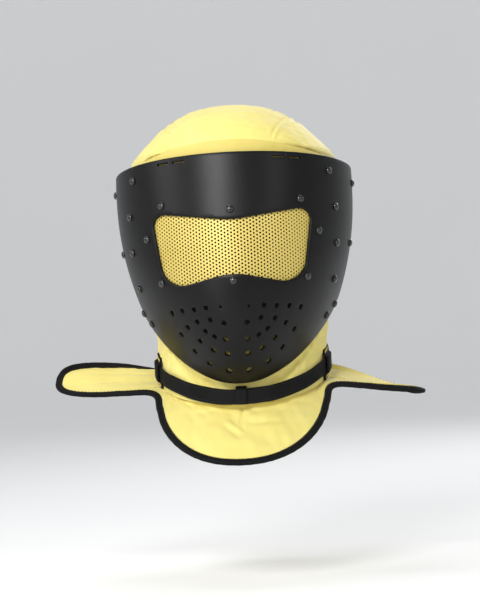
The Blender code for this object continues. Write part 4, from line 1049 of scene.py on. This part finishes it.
# Edge points, inward and up directions and neck angles, the last ones even between the notches
def capeFrame():
    n = cape["lobeColumns"]
    points, ups, angles = [], [], []
    for start, end, out, back, up, fullness, twist in cape["lobes"]:
        start, end = radians(start), radians(end)
        first, last = neckRing(np.array(start), cape["notchOut"], cape["notchDown"]), neckRing(np.array(end), cape["notchOut"], cape["notchDown"])
        across, along = (last - first) / 2, np.array([out, back, up]) * cape["reach"]
        bend = pi * np.arange(n) / n - pi / 2
        side = np.abs(np.sin(bend)) ** (2 / fullness) * np.where(bend > 0, 1, -1)
        reach = np.maximum(0, np.cos(bend)) ** (2 / fullness)
        lift = twist * cape["reach"] * side * reach
        points.append((first + last) / 2 + side[:, None] * across + reach[:, None] * along + lift[:, None] * np.array([0, 0, 1]))
        ups.append(np.tile(unit(np.cross(along, across)), (n, 1)))
        fine = n * cape["finer"]
        angles.append(start + (end - start) * np.arange(fine) / fine)
    points, ups = np.concatenate(points), np.concatenate(ups)
    points = (np.roll(points, 1, 0) + 6 * points + np.roll(points, -1, 0)) / 8
    for _ in range(4):
        ups = (np.roll(ups, 1, 0) + 2 * ups + np.roll(ups, -1, 0)) / 4
    edge, up = denser(points, cape["finer"], True), unit(denser(ups, cape["finer"], True))
    tangent = unit(np.roll(edge, -1, 0) - np.roll(edge, 1, 0))
    inward = unit(np.cross(up, tangent))
    for _ in range(6):
        inward = unit((np.roll(inward, 1, 0) + 2 * inward + np.roll(inward, -1, 0)) / 4)
    return edge, inward, unit(np.cross(tangent, inward)), np.concatenate(angles), tangent


# From the neck seam down and out to the binding: a curve with the turn as its corner
def makeCape():
    edge, inward, up, angles, tangent = capeFrame()
    line = edge + inward * (binding["width"] - 0.45 * mm)
    root = neckRing(angles, -0.7 * hoodShape["neckPad"], cape["seam"])
    turn = neckRing(angles, -0.7 * hoodShape["neckPad"], cape["seam"] + cape["drop"])
    rows, finer = cape["simRows"], 4
    w = np.linspace(0, 1, rows)[:, None, None]
    sheet = (1 - w) ** 2 * root + 2 * w * (1 - w) * (0.82 * turn + 0.18 * line) + w * w * line
    coarse = sheet[:, ::3]
    pinned = np.zeros(coarse.shape[:2], bool)
    pinned[[0, -1]] = True
    out = gridNormals(coarse, True)
    topward = np.sign((out[-2] * up[::3]).sum(-1).mean())
    order = slice(None, None, -1) if topward < 0 else slice(None)
    swollen = swell(coarse[order], True, pinned[order], cape["pressure"], cape["slack"], -1.1 * mm, 1.1 * mm, 11)[order]
    fine = denser(denser(swollen, finer, False).swapaxes(0, 1), 3, True).swapaxes(0, 1)
    fine[-1], fine[0] = line, root
    out = gridNormals(fine, True) * topward
    rows, columns = fine.shape[:2]
    w = np.linspace(0, 1, rows)[:, None] + np.zeros((1, columns))
    x, y, z = np.moveaxis(fine, -1, 0)
    front = ease(-y, 60 * mm, 85 * mm)
    height = z + 0.35 * x * 0
    tuck = -1.7 * np.exp(-((x / (1.4 * mm)) ** 2)) * (1 - ease(-z, 310 * mm, 321 * mm)) * front
    tuck = tuck - 1.6 * np.exp(-(((x + 6 * mm) / (6.5 * mm)) ** 2)) * (1 - ease(-z, 294 * mm, 316 * mm)) * front
    off = ((x + 18 * mm) * 13 + (z + 305 * mm) * 18) / 22.2
    down = ((x + 18 * mm) * 18 - (z + 305 * mm) * 13) / 22.2
    dart = (1.7 * np.exp(-((off / (2.0 * mm)) ** 2)) - 1.3 * np.exp(-(((off + 4.2 * mm) / (2.4 * mm)) ** 2))) * ease(down, 0, 7 * mm) * (1 - ease(down, 20 * mm, 24 * mm)) * front
    crease = (-1.0 * np.exp(-(((z + 307 * mm + 0.04 * x) / (2.2 * mm)) ** 2)) + 0.5 * np.exp(-(((z + 312 * mm) / (3.5 * mm)) ** 2))) * ease(x, 1 * mm, 10 * mm) * (1 - ease(x, 30 * mm, 50 * mm)) * front
    fold = -0.8 * np.exp(-(((x + 50 * mm) / (3.0 * mm)) ** 2)) * front * ease(-z, 292 * mm, 304 * mm)
    wave = 0.5 * np.sin(2 * pi * np.arange(columns)[None] / columns * 22 + 2.2 * np.sin(2 * pi * np.arange(columns)[None] / columns * 5)) * np.sin(pi * w) ** 1.2
    gather = 0.16 * np.sin(2 * pi * np.arange(columns)[None] / 9.3 + 1.6 * np.sin(np.arange(columns)[None] / 11.0)) * np.exp(-(1 - w) * 12)
    rise = (tuck + dart + crease + fold + wave * 0.8 + gather * ease(w, 0, 0.2) + 0.18 * ripple(fine, 12 * mm, 4)) * ease(w, 0, 0.12) * (1 - ease(w, 0.965, 1.0)) * mm
    half = cape["thick"] / 2 * (0.80 + 0.30 * np.sin(pi * np.clip(w, 0, 1)) ** 0.8) * (1 - 0.15 * ease(w, 0.85, 1)) + 0 * height
    normal = out.copy()
    normal[-1] = up
    normal[-2] = unit(0.5 * normal[-2] + 0.5 * up)
    normal[0] = np.stack([np.sin(angles), -np.cos(angles), 0 * angles], -1)
    top = fine + normal * (half + rise)[..., None]
    low = fine - normal * (half - 0.6 * rise)[..., None]
    maker = Maker()
    outer, inner = maker.put(top), maker.put(low)
    run = np.concatenate([[0], np.cumsum(np.linalg.norm(np.diff(edge, axis=0), axis=1))])
    v = np.linspace(0, 0.10, rows)
    maker.sheet(outer, wrap=True, u=run, v=v)
    maker.sheet(inner, wrap=True, flip=True, u=run, v=v)
    for row in (0, -1):
        corners = np.stack([outer[row], inner[row], np.roll(inner[row], -1), np.roll(outer[row], -1)], -1)
        maker.face(corners if row == 0 else corners[:, ::-1])
    piece = maker.build("capeCover", [yellowNylon])
    return piece, (edge, inward, up, run)


# The tape folded over the edge: a rounded section carried round it, gathered a little on the bends
def makeBinding(edge, inward, up, run):
    count = binding["section"]
    angle = np.arange(count) * 2 * pi / count
    power = 2 / binding["squareness"]
    across = np.sign(np.cos(angle)) * np.abs(np.cos(angle)) ** power
    lift = np.sign(np.sin(angle)) * np.abs(np.sin(angle)) ** power
    half = (binding["width"] - 0.6 * mm) / 2
    tall = binding["thick"] / 2
    wrinkle = 1 + 0.014 * np.sin(2 * pi * run / (5.3 * mm) + 2.3 * np.sin(run / (19 * mm))) + 0.022 * np.sin(2 * pi * run / (12.7 * mm) + 1.4 * np.sin(run / (31 * mm)))
    size = wrinkle[:, None] * np.where(across < 0.2, 1, 0.985) - 0.03
    turn = np.zeros(len(edge))
    lobe = len(edge) // 4
    for number, at, _, most in binding["curl"]:
        turn += most * np.exp(-(((np.arange(len(edge)) - (number + at) * lobe) / (0.20 * lobe)) ** 4))
    for _ in range(12):
        turn = (np.roll(turn, 1) + 2 * turn + np.roll(turn, -1)) / 4
    turn = turn[:, None]
    inner = edge + inward * 2 * half
    inward, up = inward * np.cos(turn) - up * np.sin(turn), up * np.cos(turn) + inward * np.sin(turn)
    edge = inner - inward * 2 * half
    centre = edge + inward * half
    points = centre[:, None] + inward[:, None] * (across * half * size)[..., None] + up[:, None] * (lift * tall * size)[..., None]
    maker = Maker()
    v = np.arange(count) * 24 * mm / count
    index = maker.put(points)
    rows = len(edge)
    corner = lambda r, c: index[r % rows, c % count]
    r, c = (g.ravel() for g in np.meshgrid(np.arange(rows), np.arange(count), indexing="ij"))
    whole = np.append(run, run[-1] + np.linalg.norm(edge[0] - edge[-1]))
    wide = np.append(v, 24 * mm)
    uv = np.stack([np.stack([whole[r], whole[r + 1], whole[r + 1], whole[r]], -1), np.stack([wide[c], wide[c], wide[c + 1], wide[c + 1]], -1)], -1)
    maker.face(np.stack([corner(r, c), corner(r + 1, c), corner(r + 1, c + 1), corner(r, c + 1)], -1), uv)
    piece = maker.build("capeTape", [edgeTape])
    lines = []
    for sign in (1, -1):
        line = centre + inward * half * 0.52 + up * sign * (tall * (wrinkle - 0.05) * 0.985)[:, None]
        lines.append((np.concatenate([line, line[:1]]), np.concatenate([up, up[:1]]) * sign))
    return piece, lines


capeCover, capeEdge = makeCape()
capeTape, tapeLines = makeBinding(*capeEdge)
tapeStitches = makeStitches("tapeStitches", tapeLines, blackThread, 2.8 * mm, 1.2 * mm, 0.28 * mm)
print("cape made", len(capeCover.data.polygons))


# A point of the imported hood's faceted outside at height z, straight between its rows
def onHood(a, z):
    rows = hoodShape["rows"]
    high, low = seamHeight(a), neckHeight(a)
    where = np.clip((z - high) / (low - high) * rows, 0, rows - 1e-6)
    i = np.floor(where)
    first = hoodPoint(a, high + (low - high) * i / rows)
    second = hoodPoint(a, high + (low - high) * (i + 1) / rows)
    return first + (second - first) * (where - i)[..., None]


def strapPoint(a, up, out):
    z = strapHeight(a) + up
    away = unit(np.stack([np.sin(a) / hoodShape["neckWidth"], -np.cos(a) / hoodShape["neckFront"], 0 * a], -1))
    return onHood(a, z) + away * np.asarray(out)[..., None]


# Webbing: a flat section with rolled edges carried round the neck
def makeStrap():
    a = np.linspace(-pi, pi, strap["columns"], endpoint=False)
    half, mid, thin = strap["width"] / 2, strap["play"] + strap["thick"] / 2, strap["thick"] / 2
    up = np.array([-1, -0.97, -0.9, -0.55, 0, 0.55, 0.9, 0.97, 1, 1, 0.97, 0.9, 0.55, 0, -0.55, -0.9, -0.97, -1]) * half
    out = np.array([0.25, 0.7, 0.92, 0.98, 1, 0.98, 0.92, 0.7, 0.25, -0.25, -0.7, -0.92, -0.98, -1, -0.98, -0.92, -0.7, -0.25]) * thin
    wave = 0.35 * mm * np.sin(7 * a + 1) + 0.2 * mm * np.sin(13 * a)
    points = strapPoint(a[:, None] + 0 * up, up[None] + wave[:, None], mid + out[None] + 0 * a[:, None])
    maker = Maker()
    index = maker.put(points)
    rows, count = index.shape
    r, c = (g.ravel() for g in np.meshgrid(np.arange(rows), np.arange(count), indexing="ij"))
    u = np.arange(rows + 1) * 2 * pi * 0.09 / rows
    v = np.cumsum(np.concatenate([[0], np.hypot(np.diff(np.append(up, up[0])), np.diff(np.append(out, out[0])))]))
    uv = np.stack([np.stack([u[r], u[r + 1], u[r + 1], u[r]], -1), np.stack([v[c], v[c], v[c + 1], v[c + 1]], -1)], -1)
    maker.face(np.stack([index[r, c], index[(r + 1) % rows, c], index[(r + 1) % rows, (c + 1) % count], index[r, (c + 1) % count]], -1), uv)
    piece = maker.build("neckWebbing", [neckTape])
    lines = []
    for side in (-1, 1):
        ring = np.append(a, a[:1] + 2 * pi)
        line = strapPoint(ring, 0 * ring + side * 0.72 * half, 0 * ring + mid + thin * 0.98)
        away = unit(np.stack([np.sin(ring) / 86, -np.cos(ring) / 89, 0 * ring], -1))
        lines.append((line, away))
    return piece, lines


loops = {"thick": 1.6 * mm, "folded": 2.6 * mm, "play": 0.5 * mm, "sewn": 0.3 * mm,
         "places": (("centreKeeper", "centre_strap_loop", 0.0, 11 * mm, 1 * mm), ("rightKeeper", "right_strap_loop", 79.0, 16 * mm, 6 * mm),
                    ("leftKeeper", "left_strap_loop", -79.0, 16 * mm, 6 * mm))}


# A keeper: a strip from foot to foot over the strap, with softened bends and rolled edges
def makeKeepers():
    over = strap["play"] + strap["thick"] + loops["play"]
    half = strap["width"] / 2 + loops["play"]
    slack = half + loops["thick"]
    made, bars = [], []
    for name, node, angle, width, foot in loops["places"]:
        a = radians(angle)
        stations = np.array([(-slack - foot, loops["sewn"]), (-slack, loops["sewn"]), (-half, over), (half, over), (slack, loops["sewn"]), (slack + foot, loops["sewn"])])
        path = evenly(stations, 0.7 * mm, closed=False)
        for _ in range(6):
            path[1:-1] = (path[:-2] + 2 * path[1:-1] + path[2:]) / 4
        reach = hoodShape["neckFront"] if cos(a) > 0.5 else hoodShape["neckWidth"]
        share = np.array([-0.5, -0.485, -0.42, -0.2, 0, 0.2, 0.42, 0.485, 0.5, 0.5, 0.485, 0.42, 0.2, 0, -0.2, -0.42, -0.485, -0.5])
        out = np.array([0.65, 0.88, 0.98, 1, 1, 1, 0.98, 0.88, 0.65, 0.35, 0.12, 0.02, 0, 0, 0, 0.02, 0.12, 0.35]) * loops["folded"]
        b = a + share * width / reach
        points = strapPoint(b[None] + 0 * path[:, :1], path[:, :1] + 0 * b, path[:, 1:] + out[None])
        maker = Maker()
        index = maker.put(points)
        v = np.append(share * width, share[0] * width)
        run = np.concatenate([[0], np.cumsum(np.linalg.norm(np.diff(path, axis=0), axis=1))])
        rows, count = index.shape
        r, c = (g.ravel() for g in np.meshgrid(np.arange(rows - 1), np.arange(count), indexing="ij"))
        uv = np.stack([np.stack([run[r], run[r + 1], run[r + 1], run[r]], -1), np.stack([v[c], v[c], v[c + 1], v[c + 1]], -1)], -1)
        maker.face(np.stack([index[r, c], index[r + 1, c], index[r + 1, (c + 1) % count], index[r, (c + 1) % count]], -1), uv)
        maker.face(index[0][None, ::-1]), maker.face(index[-1][None])
        made.append((maker.build(name, [neckTape]), node))
        ends = (-slack - foot * 0.5, slack + foot * 0.5) if foot > 3 * mm else ()
        for up in ends:
            for shift in (-1.1 * mm, 0.0, 1.1 * mm):
                across = a + np.linspace(-0.44, 0.44, 9) * width / reach
                line = strapPoint(across, up + shift + 0 * across, loops["sewn"] + loops["folded"] + 0.05 * mm + 0 * across)
                bars.append((line, np.stack([np.sin(across), -np.cos(across), 0 * across], -1)))
    return made, bars


neckWebbing, strapLines = makeStrap()
keepers, bars = makeKeepers()
strapStitches = makeStitches("strapStitches", strapLines, blackThread, 2.4 * mm, 1.0 * mm, 0.22 * mm, 0.02 * mm)
barStitches = makeStitches("barStitches", bars, yellowThread, 1.5 * mm, 0.15 * mm, 0.3 * mm, 0.05 * mm)
print("strap and keepers made")

# What each piece stands for, with a slot name and a fill share listed for each
roundVisor = ["visor_rivet_1_mid", "visor_rivet_5_mid"] + [f"visor_rivet_{i}_{side}" for i in (2, 3, 4) for side in ("left", "right")]
downSides = [f"side_rivet_{i}_{side}" for i in range(1, 9) for side in ("left", "right")]
standing = [
    (crownCover, ["crown_pad"], "yellow_cloth", 0.75), (browCover, ["brow_band"], "yellow_cloth", 0.8), (hoodCover, ["hood_wall"], "yellow_cloth", 0.75),
    (capeCover, ["shoulder_cape"], "yellow_cloth", 0.45), (capeTape, ["cape_binding"], "black_tape", None), (neckWebbing, ["neck_strap"], "black_tape", None),
    (shieldShell, ["face_shield"], "black_shell", None), (grillePlate, ["visor_grille"], "yellow_steel", None),
    (visorRivets, roundVisor, "black_rivet", None), (sideRivets, downSides, "black_rivet", None),
    (crownStitches, [], "yellow_cloth", None), (hoodStitches, [], "yellow_cloth", None), (tapeStitches, [], "black_tape", None),
    (strapStitches, [], "black_tape", None), (barStitches, [], "yellow_cloth", None),
] + [(piece, [node], "black_tape", None) for piece, node in keepers]
for piece, stoodFor, slotName, fill in standing:
    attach(piece, "root")
    if stoodFor:
        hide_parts(*stoodFor)
print("pieces placed")

studio = {"floor": -0.47, "radius": 6.5, "bend": 2.0, "tall": 4.5}


# A round floor whose rim rises all the way round: a profile of (radius, height) turned about Z
def makeBackdrop():
    made = Finish("paleSweep", Specular_IOR_Level=0.1, Emission_Color=rgb(0.95, 0.97, 1.0), Emission_Strength=0.24)
    tone = made.mix(made.noise(made.place(), 1.5, 2), rgb(0.70, 0.70, 0.695), rgb(0.74, 0.74, 0.73))
    finish = made.finish(Base_Color=tone, Roughness=0.9)
    turn = np.linspace(0, pi / 2, 17)
    r, bend = studio["radius"], studio["bend"]
    out = np.concatenate([[0.0, 0.5 * (r - bend)], r - bend + bend * np.sin(turn), [r]])
    up = np.concatenate([[0.0, 0.0], bend - bend * np.cos(turn), [studio["tall"]]]) + studio["floor"]
    angle = np.arange(72) * 2 * pi / 72
    grid = np.stack(np.broadcast_arrays(out[:, None] * np.cos(angle), out[:, None] * np.sin(angle), up[:, None]), -1)
    maker = Maker()
    maker.sheet(maker.put(grid), wrap=True)
    piece = maker.build("backdrop", [finish])
    piece.data.flip_normals()
    piece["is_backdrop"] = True


def addLight(name, place, aim, size, power, tint=(1, 1, 1)):
    lamp = bpy.data.lights.new(name, "AREA")
    lamp.shape, lamp.size, lamp.size_y, lamp.energy, lamp.color = "RECTANGLE", size[0], size[1], power, tint
    piece = bpy.data.objects.new(name, lamp)
    piece.location = place
    piece.rotation_euler = (Vector(place) - Vector(aim)).to_track_quat("Z", "Y").to_euler()
    scene.collection.objects.link(piece)


makeBackdrop()
middle = (0, 0, -0.15)
addLight("keyLight", (-0.42, -1.55, 0.72), middle, (0.55, 0.55), 21)
addLight("bandLight", (1.25, -1.35, 0.62), middle, (0.22, 0.8), 3.2)
addLight("lowLight", (-1.05, -1.5, -0.12), middle, (0.4, 0.5), 3.0)
addLight("leftLight", (-1.7, -0.7, 0.75), middle, (0.8, 0.8), 9)
addLight("topLight", (-0.2, 0.1, 1.8), middle, (1.2, 1.0), 12)
addLight("backLight", (0.9, 1.8, 0.9), middle, (1.0, 1.0), 12)
world = bpy.data.worlds.new("room")
scene.world = world
world.use_nodes = True
world.node_tree.nodes["Background"].inputs["Color"].default_value = rgb(0.95, 0.96, 1.0)
world.node_tree.nodes["Background"].inputs["Strength"].default_value = 0.30
scene.view_settings.view_transform = "Standard"

# The camera: level, almost straight ahead, tipped a little to one side
view = {"azimuth": radians(2.3), "distance": 2.4, "aim": (0.0, 0.0, -0.183), "roll": radians(-3.0), "pixel": 1.046e-3}
back = Vector((sin(view["azimuth"]), -cos(view["azimuth"]), 0))
camera = bpy.data.objects.new("camera", bpy.data.cameras.new("camera"))
scene.collection.objects.link(camera)
camera.location = Vector(view["aim"]) + back * view["distance"]
camera.rotation_euler = (-back).to_track_quat("-Z", "Y").to_euler()
camera.rotation_euler.rotate_axis("Z", view["roll"])
camera.data.sensor_width, camera.data.sensor_fit = 36, "HORIZONTAL"
camera.data.lens = 36 * view["distance"] / (480 * view["pixel"])
scene.camera = camera

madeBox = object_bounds()
{"cad": [list(corner) for corner in cadBox], "visual": [list(corner) for corner in madeBox]}
print("studio ready")
